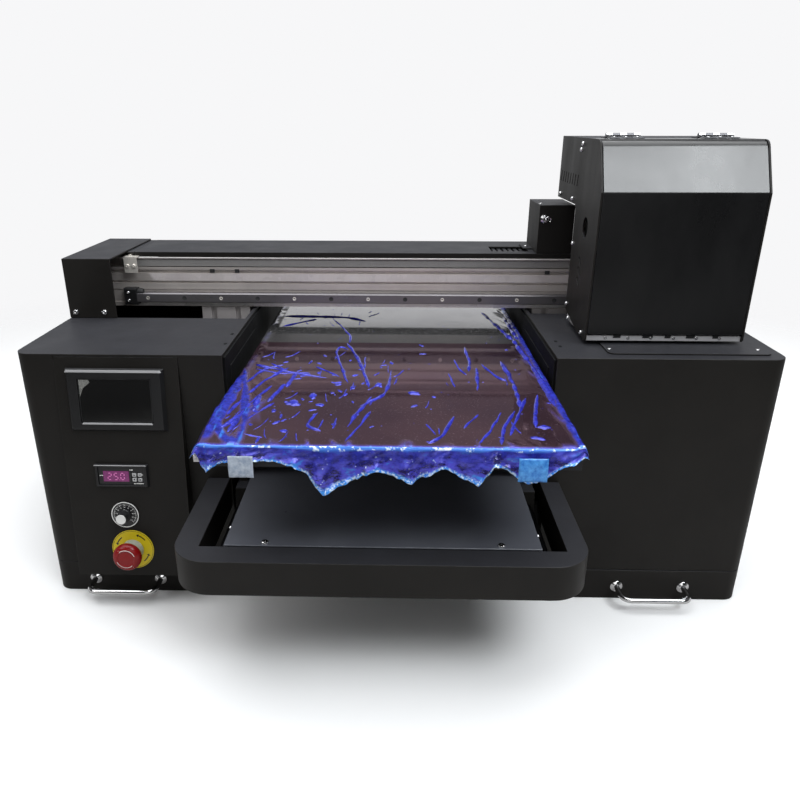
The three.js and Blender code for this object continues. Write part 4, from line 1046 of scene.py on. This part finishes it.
def idler_clamp():
    """Folded steel idler clamp over the beam's top front edge, with the shim beside it."""
    x0, x1, t = BEAM_LEFT + 59 * MM, BEAM_LEFT + 80 * MM, 1.6 * MM
    front, rear, low = BEAM_FACE - 12.5 * MM, BEAM_FACE + 14 * MM, BEAM_TOP - 23 * MM
    high, under = BEAM_TOP + 2.2 * MM, BEAM_TOP + 0.4 * MM
    outline = [(front, low), (front, high), (rear, high), (rear, under), (front + t, under),
               (front + t, low)]
    clamp = Shape()
    clamp.rings([[(x, y, z) for y, z in outline] for x in (x0, x1)])
    for x in (x0 + 5.2 * MM, x1 - 5.2 * MM):
        clamp.screw(facing((x, BEAM_FACE + 7 * MM, high), UP), 3.4 * MM, height=0.8)
        clamp.screw(facing((x, front, BEAM_TOP - 12 * MM), FRONTWARD), 3.3 * MM, height=0.7)
    clamp.piece("idler_clamp", "chassis", BRIGHT_STEEL, 30)
    shim = Shape()
    shim.block((x1 + 1 * MM, BEAM_FACE + 0.8 * MM, BEAM_TOP + 0.1 * MM),
               (x1 + 31 * MM, BEAM_FACE + 8 * MM, BEAM_TOP + 0.45 * MM))
    shim.piece("idler_shim", "chassis", MATERIALS["knob_white"])


def end_stop():
    """Rubber buffer and its black clamp with two screws."""
    x, y = RAIL[0].x - 4 * MM, BEAM_FACE
    stop = Shape()
    at = facing((x, y - 0.4 * MM, RAIL_Z + 2 * MM), FRONTWARD)
    stop.block(mm(-11, -13.5, 0), mm(11, 13.5, 14.5), at, 0, 2 * MM)
    for dz in (9, -4):
        at = facing((x - 3 * MM, y - 14.9 * MM, RAIL_Z + dz * MM), FRONTWARD)
        stop.screw(at, 2.8 * MM, "hex", 1, 0.7)
    stop.turned([mm(5.5, 0), mm(5.5, 7), mm(4.6, 9), mm(0.02, 9.6)],
                facing((x + 10.5 * MM, y - 7 * MM, RAIL_Z + 9 * MM), (1, 0, 0)), 24, 2)
    looks = [MATERIALS["black_plastic"], MATERIALS["chrome"], MATERIALS["cap_rubber"]]
    stop.piece("end_stop", "chassis", looks)


# ---------- cover fittings ----------
def cover_screws():
    """Screws of the bed plate, hatch, fixed covers, power inlet and chain box."""
    screws = Shape()

    def fix(point, out, r, kind="cross", height=0.5, turn=0.0):
        screws.screw(facing(point, out, turn), r * MM, kind, 0, height)

    bed, hatch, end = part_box("bed_cover"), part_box("service_hatch"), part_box("gantry_end_cover")
    for px, dx in ((0, 48.7), (1, -47.5)):
        for py, dy in ((0, 6.5), (1, -10)):
            fix(spot(bed, (px, py, 1), dx, dy), UP, 4.6, turn=0.4)
    for px, side, dy in ((0, -1, 46), (1, 1, 36)):
        fix(spot(bed, (px, 0, 1), 0, dy, -5), (side, 0, 0), 3.2, "hex", 0.9)
    for px, dx in ((0, 6), (1, -11.5)):
        for py, dy in ((0, 21), (1, -12)):
            fix(spot(hatch, (px, py, 1), dx, dy), UP, 2.9, "cross", 0.28, 0.3)
    for dx in (10.5, 55.6):
        for py, out in ((0, FRONTWARD), (1, REARWARD)):
            fix(spot(end, (0, py, 0), dx, 0, 9.3), out, 4.4, "hex", 0.6)
    for k in range(4):
        fix(spot(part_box("rear_top_cover"), (0, 1, 1), 60 + 270 * k, 0, -14), REARWARD, 3.4)
    for name, px, side in (("left_cover", 0, -1), ("right_cover", 1, 1)):
        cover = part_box(name)
        for dz in (14, 150, 300):
            fix(spot(cover, (0, 1, 0), 30, 0, dz), REARWARD, 3.4, turn=0.5)
            fix(spot(cover, (1, 1, 0), -30, 0, dz), REARWARD, 3.4, turn=0.5)
        for dy in (60, 300, 540):
            fix(spot(cover, (px, 0, 0), 0, dy, 14), (side, 0, 0), 3.4, turn=0.2)
    inlet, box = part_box("power_inlet"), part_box("chain_box")
    half = (inlet[1].z - inlet[0].z) / 2 / MM
    for px, dx in ((0, 4), (1, -4)):
        fix(spot(inlet, (px, 1, 0), dx, -0.2, half), REARWARD, 2.6, height=0.3)
    fix(spot(box, (0, 0, 1), 18, 20), UP, 3.0, height=0.45)
    fix(spot(box, (0, 0, 0), 7, 60, 2), UP, 3.0)
    screws.piece("cover_screws", "chassis", MATERIALS["chrome"], 30)


def relief_plugs():
    """Plugged relief holes in the cabinet tops, beside the tunnel."""
    plugs = Shape()
    left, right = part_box("left_cover"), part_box("right_cover")
    outline = []
    for k in range(20):
        a = math.tau * k / 20
        outline.append(mm(2.3 * math.cos(a), 2.3 * math.sin(a) + math.copysign(1.4, math.sin(a))))
    for box, px, dx, dy in ((left, 1, -7.6, 101.3), (left, 1, -6.8, 53.0), (right, 0, 13.2, 77.0),
                            (right, 0, 14.4, 53.0)):
        plugs.prism(outline, 0, 0.25 * MM, Matrix.Translation(spot(box, (px, 0, 1), dx, dy)))
    plugs.piece("relief_plugs", "chassis", GUARD_COAT)


def chain_box_gland():
    """Cable gland and lashing eye on the chain box front."""
    at = facing(spot(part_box("chain_box"), (0, 0, 0), 22.5, 0, 54), FRONTWARD)
    gland = Shape()
    profile = [(6.4, 0), (6.4, 1.2), (5.2, 1.5), (5.2, 4.2), (4.4, 4.8), (3.2, 4.9), (3.0, 2.0), (0.02, 2.0)]
    gland.turned(profile, at @ Matrix.Scale(MM, 4), 30)
    hook = []
    for k in range(15):
        a = math.radians(-50 + 280 * k / 14)
        hook.append(at @ Vector(mm(5 + 4.2 * math.cos(a), -1 + 4.2 * math.sin(a), 3.2 + 0.12 * k)))
    gland.tube(hook, 0.9 * MM, 10)
    gland.piece("chain_box_gland", "chassis", MATERIALS["chrome"], 35)


def top_joint():
    """Folded strip between the gantry's end cover and rear top cover, and the cable trough on the beam."""
    end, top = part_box("gantry_end_cover"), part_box("rear_top_cover")
    strip = Shape()
    strip.block((end[1].x + 0.15 * MM, top[0].y + 0.5 * MM, top[1].z - 1.8 * MM),
                (top[0].x - 0.15 * MM, top[1].y - 1 * MM, top[1].z - 0.1 * MM), chamfer=0.3 * MM)
    strip.piece("gantry_joint_strip", "chassis", MATERIALS["powder_coat"])

    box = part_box("chain_box")   # black trough on the beam, below the cable slot
    trough = Shape()
    trough.block((box[0].x - 84 * MM, BEAM_FACE + 14 * MM, BEAM_TOP + 0.1 * MM),
                 (box[1].x, BEAM[1].y - 1 * MM, BEAM_TOP + 1.2 * MM), chamfer=0.4 * MM)
    for k in range(9):
        x = box[0].x - (76 - 9 * k) * MM
        trough.block((x, BEAM_FACE + 17 * MM, BEAM_TOP + 1.2 * MM),
                     (x + 5.5 * MM, BEAM[1].y - 6 * MM, BEAM_TOP + 4.5 * MM), chamfer=1.2 * MM)
    trough.piece("cable_trough", "chassis", MATERIALS["lamp_black"])


def louvres():
    """Pressed cooling louvres on the rear of both cabinets."""
    made = Shape()
    for name in ("left_cover", "right_cover"):
        lo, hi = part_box(name)
        mid = (lo.x + hi.x) / 2
        for k in range(9):
            z = lo.z + (190 + 11 * k) * MM
            rings = []
            for x, s in ((-46, 0.1), (-42, 0.8), (-36, 1.0), (36, 1.0), (42, 0.8), (46, 0.1)):
                rings.append([(mid + x * MM, hi.y + out * MM * s, z + high * MM * s)
                              for out, high in ((0, 3.0), (1.6, 1.2), (1.9, -2.2), (0, -2.4))])
            made.rings(rings)
    made.piece("rear_louvres", "chassis", MATERIALS["powder_coat"], 50)


# ---------- carriage fittings ----------
HINGES = [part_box("lid_hinge_left"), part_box("lid_hinge_right")]


def thirds(hinge):
    """Screw positions across one hinge leaf."""
    return [hinge[0].x + (hinge[1].x - hinge[0].x) * (k + 0.5) / 3 for k in range(3)]


def carriage_screws():
    """Screws of the side plates, rear cover, base plate and fixed hinge leaves."""
    left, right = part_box("carriage_side_left"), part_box("carriage_side_right")
    rear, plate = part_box("carriage_rear_cover"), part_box("carriage_plate")
    screws = Shape()
    for dy, dz in ((116.5, 251.5), (122.5, 243.3), (120.5, 113.7), (120.5, 24), (102, 6.5), (22, 6.5),
                   (231, 174.5), (149, 174.5)):
        for x, side in ((left[0].x, -1), (right[1].x, 1)):
            screws.screw(facing((x, left[0].y + dy * MM, left[0].z + dz * MM), (side, 0, 0), 0.3), 3.1 * MM,
                         height=0.75)
    for px, dx in ((0, 14), (1, -14)):
        screws.screw(facing(spot(rear, (px, 1, 1), dx, 0, -14), REARWARD, 0.4), 3.1 * MM, "cross", 0, 0.5)
    for k in range(6):
        place = facing(spot(plate, (0, 0, 0), 26 + 31 * k, 0, 4), FRONTWARD, 0.2)
        screws.screw(place, 2.2 * MM, height=0.35)
    for hinge in HINGES:
        for x in thirds(hinge):
            place = facing((x, hinge[1].y - 6.5 * MM, rear[1].z + 2 * MM), UP, 0.2)
            screws.screw(place, 2.2 * MM, "cross", 0, 0.4)
    screws.piece("carriage_screws", "x_carriage", MATERIALS["chrome"], 30)


def hinge_leaves():
    """Moving hinge leaves, screwed to the lid, with their knuckles over the pin."""
    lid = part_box("carriage_lid")[1]
    front, top = lid.y - 22 * MM, lid.z + 1.9 * MM
    pin_y, pin_z = lid.y + 1 * MM, lid.z + 3.6 * MM
    angles = [math.tau * i / 24 for i in range(24)]
    leaves = Shape()
    for hinge in HINGES:
        lo, hi = hinge
        leaves.block((lo.x + 0.5 * MM, front, lid.z + 0.1 * MM), (hi.x - 0.5 * MM, lid.y - 4.2 * MM, top),
                     chamfer=0.5 * MM)
        for x in thirds(hinge):
            leaves.screw(facing((x, front + 7 * MM, top), UP, 0.7), 2.2 * MM, "cross", 1, 0.4)
        w = (hi.x - lo.x) / 5
        for k in (0, 2, 4):
            a, b = lo.x + w * k + 0.3 * MM, lo.x + w * (k + 1) - 0.3 * MM
            ends = ((a, 3.15), (a + 0.3 * MM, 3.45), (b - 0.3 * MM, 3.45), (b, 3.15))
            leaves.rings([[(x, pin_y + r * MM * math.cos(t), pin_z + r * MM * math.sin(t)) for t in angles]
                          for x, r in ends], mat=1)
    leaves.piece("lid_hinge_leaves", "carriage_lid", [HINGE_STEEL, MATERIALS["chrome"]], 30)


def head_clips():
    """Cable clips seen along the plate's front edge."""
    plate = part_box("carriage_plate")
    clips = Shape()
    for dx, w in ((41.5, 5), (83.5, 7), (110.5, 4), (141.5, 6), (175.5, 4)):
        clips.block(spot(plate, (0, 0, 0), dx - w, -0.5, 4.0), spot(plate, (0, 0, 0), dx + w, 0.6, 8.7),
                    chamfer=0.4 * MM)
    clips.piece("head_clips", "x_carriage", MATERIALS["black_plastic"])


def nozzle_plate():
    """The nozzle plate under the print head."""
    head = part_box("print_head")
    nozzle = Shape()
    nozzle.block(spot(head, (0, 0, 0), 14, 14, -0.35), spot(head, (1, 1, 0), -14, -14, 0.02))
    nozzle.piece("nozzle_plate", "x_carriage", MATERIALS["chrome"])


# ---------- protective film ----------
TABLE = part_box("table_plate")
FILM_TOP = TABLE[1].z + 0.75 * MM
FRONT = TABLE[0].y - 0.6 * MM
WIDTH, DEPTH = TABLE[1].x - TABLE[0].x, TABLE[1].y - TABLE[0].y
LEFT_SPARE, RIGHT_SPARE = 26 * MM, 11 * MM
LEFT_BORDER, RIGHT_BORDER = 14 * MM, 9 * MM   # where the film starts to rise off the plate
SETTLED, GIVE = 2.4 * MM, 1.7 * MM            # heights that keep the film below the gantry
COLUMNS, SKIRT_ROWS, ROWS = 210, 16, 170
ACROSS = [-LEFT_SPARE + (WIDTH + LEFT_SPARE + RIGHT_SPARE) * i / COLUMNS for i in range(COLUMNS + 1)]
# Lower edge of the hanging film: (share of the table's width, drop in mm).
HEM = [(-0.08, 4), (-0.035, 6), (-0.022, 25), (0.0, 31), (0.05, 22), (0.11, 14), (0.17, 16), (0.25, 22),
       (0.29, 38), (0.325, 57), (0.36, 47), (0.41, 37), (0.46, 26), (0.52, 35), (0.56, 41), (0.60, 32),
       (0.64, 21), (0.68, 33), (0.73, 43), (0.755, 33), (0.77, 17), (0.81, 27), (0.86, 41), (0.90, 36),
       (0.93, 23), (0.97, 15), (1.03, 6)]
# Loose creases: points across (0 left, 1 right) and along (0 front, 1 back) the table, then the half
# width in mm.
CREASES = [
    ([(0.34, 0.56), (0.31, 0.58), (0.30, 0.54), (0.33, 0.42), (0.36, 0.32)], 2.2),
    ([(0.33, 0.62), (0.39, 0.46), (0.43, 0.29)], 2.6),
    ([(0.50, 0.41), (0.48, 0.26), (0.42, 0.19), (0.38, 0.08)], 2.4),
    ([(0.44, 0.16), (0.41, 0.08), (0.38, 0.01)], 2.0),
    ([(0.03, 0.44), (0.10, 0.41), (0.18, 0.38), (0.29, 0.35)], 2.6),
    ([(0.08, 0.45), (0.16, 0.39), (0.23, 0.38)], 2.0), ([(0.04, 0.41), (0.12, 0.38), (0.17, 0.38)], 1.8),
    ([(0.18, 0.38), (0.17, 0.29)], 3.0), ([(0.16, 0.31), (0.13, 0.20)], 3.2),
    ([(0.10, 0.24), (0.10, 0.15)], 4.5),
    ([(0.24, 0.43), (0.33, 0.36)], 1.6), ([(0.69, 0.39), (0.70, 0.30)], 1.8),
    ([(0.72, 0.49), (0.73, 0.42), (0.75, 0.38)], 1.8), ([(0.77, 0.59), (0.77, 0.48), (0.76, 0.40)], 2.4),
    ([(0.79, 0.43), (0.77, 0.28)], 2.6), ([(0.81, 0.46), (0.84, 0.38), (0.87, 0.34)], 1.9),
    ([(0.88, 0.48), (0.89, 0.33), (0.88, 0.17)], 2.7), ([(0.91, 0.24), (0.87, 0.16), (0.82, 0.05)], 2.7),
    ([(0.86, 0.17), (0.81, 0.08), (0.79, 0.01)], 2.4), ([(0.95, 0.26), (0.92, 0.17), (0.90, 0.09)], 2.4),
    ([(0.82, 0.16), (0.77, 0.07), (0.73, 0.01)], 2.0), ([(0.75, 0.15), (0.70, 0.08)], 1.8),
    ([(0.68, 0.14), (0.64, 0.05), (0.60, 0.01)], 2.4), ([(0.08, 0.21), (0.06, 0.05)], 3.2),
    ([(0.07, 0.14), (0.03, 0.06)], 2.8), ([(0.29, 0.15), (0.27, 0.09), (0.31, 0.06)], 2.4),
    ([(0.07, 0.05), (0.16, 0.03)], 1.6), ([(0.13, 0.44), (0.07, 0.40), (0.03, 0.30), (0.015, 0.18)], 2.6),
    ([(0.15, 0.42), (0.09, 0.33), (0.05, 0.22), (0.02, 0.10)], 2.4),
    ([(0.12, 0.30), (0.09, 0.22), (0.05, 0.12)], 2.2), ([(0.15, 0.20), (0.10, 0.12), (0.07, 0.06)], 2.0),
    ([(0.03, 0.25), (0.015, 0.12), (0.02, 0.04)], 2.6), ([(0.96, 0.70), (0.985, 0.37), (0.985, 0.14)], 4.2),
    ([(0.975, 0.89), (0.985, 0.61)], 3.4), ([(0.02, 0.88), (0.14, 0.88), (0.30, 0.87), (0.39, 0.83)], 2.6),
    ([(0.05, 0.77), (0.18, 0.85)], 2.2), ([(0.89, 0.95), (0.94, 0.74), (0.96, 0.66)], 3.4),
    ([(0.24, 0.87), (0.33, 0.70), (0.34, 0.62)], 1.8), ([(0.60, 0.10), (0.62, 0.05)], 1.4),
]
# Air pockets: place on the table, then radius in mm.
POCKETS = [
    (0.21, 0.20, 9), (0.26, 0.24, 6), (0.46, 0.31, 6), (0.57, 0.26, 7), (0.57, 0.19, 3.5), (0.33, 0.31, 4.5),
    (0.38, 0.29, 4), (0.61, 0.60, 3.4), (0.61, 0.53, 3.8), (0.97, 0.21, 3.5), (0.92, 0.09, 6.5),
    (0.89, 0.04, 5), (0.63, 0.24, 3), (0.21, 0.06, 4), (0.13, 0.46, 3.2), (0.29, 0.19, 5), (0.11, 0.15, 5),
    (0.38, 0.37, 3.6), (0.26, 0.51, 3.2), (0.92, 0.57, 3.2), (0.34, 0.27, 3.4), (0.36, 0.25, 3),
]
# Profile across a crease: (share of the half width, share of the height).
CREASE_PROFILE = ((-1.0, -0.1), (-0.72, 0.55), (-0.25, 0.95), (0.12, 1.0), (0.6, 0.6), (1.0, -0.1))


def rough(x, y, z):
    """Smooth random value at a point, between about -1 and 1."""
    return noise.noise(Vector((x, y, z)))


def on_table(u, v):
    """Place on the table at share u of its width and share v of its depth."""
    return TABLE[0].x + u * WIDTH, TABLE[0].y + v * DEPTH


def along(points, t):
    """Smooth point at share t (0 to 1) of a run of control points."""
    n = len(points) - 1
    k = min(int(t * n), n - 1)
    f = t * n - k
    p = [Vector(points[max(0, min(n, i))]) for i in (k - 1, k, k + 1, k + 2)]
    return 0.5 * (2 * p[1] + (p[2] - p[0]) * f + (2 * p[0] - 5 * p[1] + 4 * p[2] - p[3]) * f ** 2
                  + (3 * p[1] - p[0] - 3 * p[2] + p[3]) * f ** 3)


def hem_drop(share):
    """Drop of the lower edge, in metres, with its small tears."""
    share = max(HEM[0][0], min(HEM[-1][0], share))
    for (a, da), (b, db) in zip(HEM, HEM[1:]):
        if share <= b:
            f = (share - a) / (b - a)
            break
    rag = rough(share * 90, 3.1, 0) * 1.6 + rough(share * 260, 8.7, 0) * 0.9
    return max(4.0, da + (db - da) * f + rag) * MM


def smooth(x):
    """Smooth step from 0 to 1."""
    x = max(0.0, min(1.0, x))
    return x * x * (3 - 2 * x)


def looseness(v):
    """How far the left border has come off the plate at share v of its length."""
    return smooth((0.42 - v) / 0.2) * (0.55 + 0.45 * smooth(v / 0.12))


def left_border(s, v):
    """(x, height above the plate) of the film's left border."""
    loose = looseness(v)
    t = (LEFT_BORDER - s) / (LEFT_BORDER + LEFT_SPARE)
    over = (3 + 11.5 * loose) * MM
    wave = 0.75 + 0.5 * rough(v * 13, 0.5, 2.0) + 0.25 * rough(v * 37, 4.5, 2.0)
    x = LEFT_BORDER - t * (LEFT_BORDER + over * (1 + 0.25 * rough(v * 21, 9.5, 2.0) - 0.12))
    past = max(0.0, -x) / over
    rise = (1.2 + 2.9 * loose) * MM * wave * math.sin(math.pi * t ** 0.9 * 0.93)
    return TABLE[0].x + x, rise - (6 + 11 * loose) * MM * past ** 1.6


def right_border(s, v):
    """(x, height above the plate) of the film's right border."""
    t = (s - WIDTH + RIGHT_BORDER) / (RIGHT_BORDER + RIGHT_SPARE)
    wave = 0.8 + 0.5 * rough(v * 15, 0.5, 7.0) + 0.25 * rough(v * 41, 4.5, 7.0)
    x = WIDTH - RIGHT_BORDER + t * 13.5 * MM
    past = max(0.0, x - WIDTH) / (4.5 * MM)
    return TABLE[0].x + x, 3.2 * MM * wave * math.sin(math.pi * t * 0.93) - 7 * MM * past ** 1.6


def cross_section(s, v):
    """(x, height above the plate) of the film, s from the plate's left edge and share v of the way back."""
    if s < LEFT_BORDER:
        return left_border(s, v)
    if s > WIDTH - RIGHT_BORDER:
        return right_border(s, v)
    return TABLE[0].x + s, 0.0


def ruffle(x, y, v):
    """Lift of the loose left and front parts of the sheet, in metres."""
    from_left = (x - TABLE[0].x) / WIDTH
    zone = smooth((0.19 - from_left) / 0.16) * smooth((0.47 - v) / 0.16)
    zone = max(zone, 0.55 * smooth((0.05 - v) / 0.05), 0.5 * smooth((from_left - 0.93) / 0.05))
    p = Vector((x * 30 + y * 11, y * 6 - x * 5, 0.3))   # long ridges that run towards the front left corner
    ridge = 1 - abs(noise.noise(p) * 2.6)
    fine = 1 - abs(noise.noise(p * 2.3) * 2.8)
    return zone * (max(0, ridge - 0.3) * 3.0 + max(0, fine - 0.5) * 1.1) * MM


def hanging_rows():
    """Rows of the hanging part, from the hem up to the plate's edge, as (point, looseness)."""
    rows = []
    for j in range(SKIRT_ROWS, 0, -1):
        f = j / SKIRT_ROWS
        row = []
        for s in ACROSS:
            x, rise = cross_section(s, 0.0)
            share = s / WIDTH
            drop = hem_drop(share)
            fold = math.sin(share * 61 + 1.3 * math.sin(share * 23)) * 0.5 + 0.5
            swing = (2.2 + 7.5 * f ** 1.3 * fold + 6.0 * f * f * smooth((drop - 30 * MM) / (25 * MM))) * MM
            creased = 1 - abs(rough(x * 55 + f * 2.2, f * 1.6 + x * 12, 6.1) * 2.4)
            crumple = rough(x * 120, f * 4.0, 1.7) * 2.4 * f * MM + creased * 2.6 * f * MM
            z = FILM_TOP + rise * (1 - 0.35 * f) - f * drop * (0.97 - 0.04 * fold) - 0.5 * MM
            row.append(((x, FRONT - swing - crumple, z), 1.0 + f))
        rows.append(row)
    return rows


def laid_rows():
    """Rows of the part on the plate, from the front to the rear, as (point, looseness)."""
    rows = []
    for j in range(ROWS + 1):
        v = (j / ROWS) ** 1.12
        y = FRONT + DEPTH * v
        edge = smooth(j / 2.0)
        row = []
        for s in ACROSS:
            x, rise = cross_section(s, v)
            lift = ruffle(x, y, v)
            loose = max(smooth(lift / (1.7 * MM)), smooth(rise / (2.5 * MM)), smooth(-rise / (3 * MM)),
                        0.9 * (1 - smooth(j / 3.0)))
            high = rise + lift * edge
            if high > SETTLED:
                high = SETTLED + GIVE * math.tanh((high - SETTLED) / GIVE)
            row.append(((x, y - (1 - edge) * 1.2 * MM, FILM_TOP + high - (1 - edge) * 0.4 * MM), loose))
        rows.append(row)
    return rows


def film_sheet():
    """The film itself, with its looseness stored at each point."""
    grid = hanging_rows() + laid_rows()
    n = COLUMNS + 1
    faces = [[a * n + i, a * n + i + 1, (a + 1) * n + i + 1, (a + 1) * n + i]
             for a in range(len(grid) - 1) for i in range(COLUMNS)]
    sheet = Shape()
    sheet.add([point for row in grid for point, _ in row], faces)
    sheet.values = [loose for row in grid for _, loose in row]
    film = sheet.piece("protective_film_sheet", "table", FILM, 70, "loose")
    modifier(film, "SOLIDIFY", "thickness", thickness=0.12 * MM, offset=0.0)
    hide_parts("protective_film")
    return film


def crease_runs(lane):
    """The placed creases, then short random ones that run the same way."""
    runs = list(CREASES)
    for i in range(58):
        u, v = lane.uniform(0.04, 0.5 if i % 3 else 0.96), lane.uniform(0.02, 0.55)
        if i > 44:
            u, v = lane.uniform(0.02, 0.5), lane.uniform(0.82, 0.96)
        lean = lane.uniform(-0.5, 0.9)
        length = lane.uniform(0.02, 0.06)
        points = [(u, v), (u - lean * length * 0.5, v - length * 0.7), (u - lean * length, v - length)]
        runs.append((points, lane.uniform(0.7, 1.5)))
    return runs


def add_crease(shape, points, width):
    """One raised crease along its control points; the half width is in millimetres."""
    path = [Vector((*on_table(u, max(v, 0.006)), 0)) for u, v in points]
    length = sum((b - a).length for a, b in zip(path, path[1:]))
    steps = max(10, int(length / (3.2 * MM)))
    width *= 1.3
    rings = []
    for k in range(steps + 1):
        t = k / steps
        p = along(path, t)
        ahead = (along(path, min(1, t + 0.02)) - along(path, max(0, t - 0.02))).normalized()
        side = Vector((-ahead.y, ahead.x, 0))
        taper = min(1.0, 6 * t, 6 * (1 - t)) ** 0.6
        swell = 0.75 + 0.5 * rough(p.x * 60, p.y * 60, width)
        w = max(0.15, width * taper * swell) * MM
        h = min(w * 0.7, 3.4 * MM)
        wander = rough(p.x * 45, p.y * 45, 5.0) * 1.4 * MM
        p = p + side * wander
        ring = []
        for a, lift in CREASE_PROFILE:
            q = p + side * w * a
            ring.append((q.x, q.y, FILM_TOP - 0.05 * MM + h * lift))
        rings.append(ring)
    shape.rings(rings, closed=True)


def air_pockets(lane):
    """The placed air pockets, then small random ones everywhere and larger ones at the front left."""
    pockets = list(POCKETS)
    for _ in range(90):
        pockets.append((lane.uniform(0.03, 0.97), lane.uniform(0.01, 0.97) ** 1.2, lane.uniform(0.5, 1.7)))
    for _ in range(34):
        pockets.append((lane.uniform(0.08, 0.5), lane.uniform(0.05, 0.48), lane.uniform(2.0, 3.8)))
    return pockets


def add_pocket(shape, lane, u, v, r):
    """One low dome of trapped air; its radius is in millimetres."""
    m = 20 if r > 2 else 8
    x, y = on_table(u, v)
    stretch, turn = lane.uniform(1.1, 1.9) if r > 2 else 1.0, lane.uniform(0, math.pi)
    rings = []
    for k, h in ((1.0, -0.04), (0.86, 0.10), (0.6, 0.2), (0.28, 0.25)):
        ring = []
        for i in range(m):
            a = math.tau * i / m
            wob = 1 + 0.62 * rough(math.cos(a) * 1.5 + u * 50, math.sin(a) * 1.5, v * 50)
            px, py = r * k * wob * math.cos(a) * stretch, r * k * wob * math.sin(a) / stretch ** 0.5
            ring.append((x + (px * math.cos(turn) - py * math.sin(turn)) * MM,
                         y + (px * math.sin(turn) + py * math.cos(turn)) * MM, FILM_TOP + h * r * MM))
        rings.append(ring)
    shape.rings(rings)


def film_creases():
    """Creases and air pockets of the film."""
    lane = random.Random(11)
    creases = Shape()
    for points, width in crease_runs(lane):
        add_crease(creases, points, width)
    for u, v, r in air_pockets(lane):
        add_pocket(creases, lane, u, v, r)
    return creases.piece("protective_film_creases", "table", CREASE, 60)


def film_tape(name, left, right, top, bottom, mat):
    """Tape on the hanging film: shares of the table's width, then millimetres below the plate."""
    rings = []
    for k in range(11):
        f = k / 10
        z = FILM_TOP - (top + (bottom - top) * f) * MM
        bow = (11.5 + 1.4 * math.sin(f * 2.6)) * MM
        line = []
        for i in range(13):
            u = left + (right - left) * i / 12
            ripple = rough(u * 60, f * 2.2, 4.0) * 0.9 * MM
            line.append((TABLE[0].x + u * WIDTH, FRONT - bow - ripple, z))
        rings.append(line)
    tape = Shape()
    tape.rings(rings, closed=False)
    made = tape.piece(name, "table", mat, 70)
    modifier(made, "SOLIDIFY", "thickness", thickness=0.1 * MM, offset=0.0)
    return made


def protective_film():
    """The film with its creases and tapes, laid on the table."""
    film, folds = film_sheet(), film_creases()
    tapes = [film_tape("film_tape_left", 0.08, 0.145, 8, 33, TAPE_WHITE),
             film_tape("film_tape_right", 0.83, 0.905, 7, 34, TAPE_BLUE)]
    cut_width, drops = WIDTH + LEFT_SPARE + RIGHT_SPARE, [hem_drop(s / WIDTH) for s in ACROSS]


def corner_bracket():
    """Bare corner bracket of the table, with its screw."""
    corner = Shape()
    low, high = spot(TABLE, (0, 0, 1), -8, 1, -21), spot(TABLE, (0, 0, 1), -0.4, 26, -13)
    corner.block(low, high, chamfer=0.8 * MM)
    corner.screw(facing(spot(TABLE, (0, 0, 1), -4, 1, -17), FRONTWARD), 2.4 * MM, height=0.4)
    corner.piece("table_corner_bracket", "table", MATERIALS["aluminium"])


touch_panel()
thermostat()
potentiometer_dial()
emergency_stop()
carrying_handle("front_handle_left")
carrying_handle("front_handle_right")
encoder_strip()
beam_highlight_lips()
slot_nuts()
rail_bolts()
idler_clamp()
end_stop()
cover_screws()
relief_plugs()
chain_box_gland()
top_joint()
louvres()
carriage_screws()
hinge_leaves()
head_clips()
nozzle_plate()
protective_film()
corner_bracket()
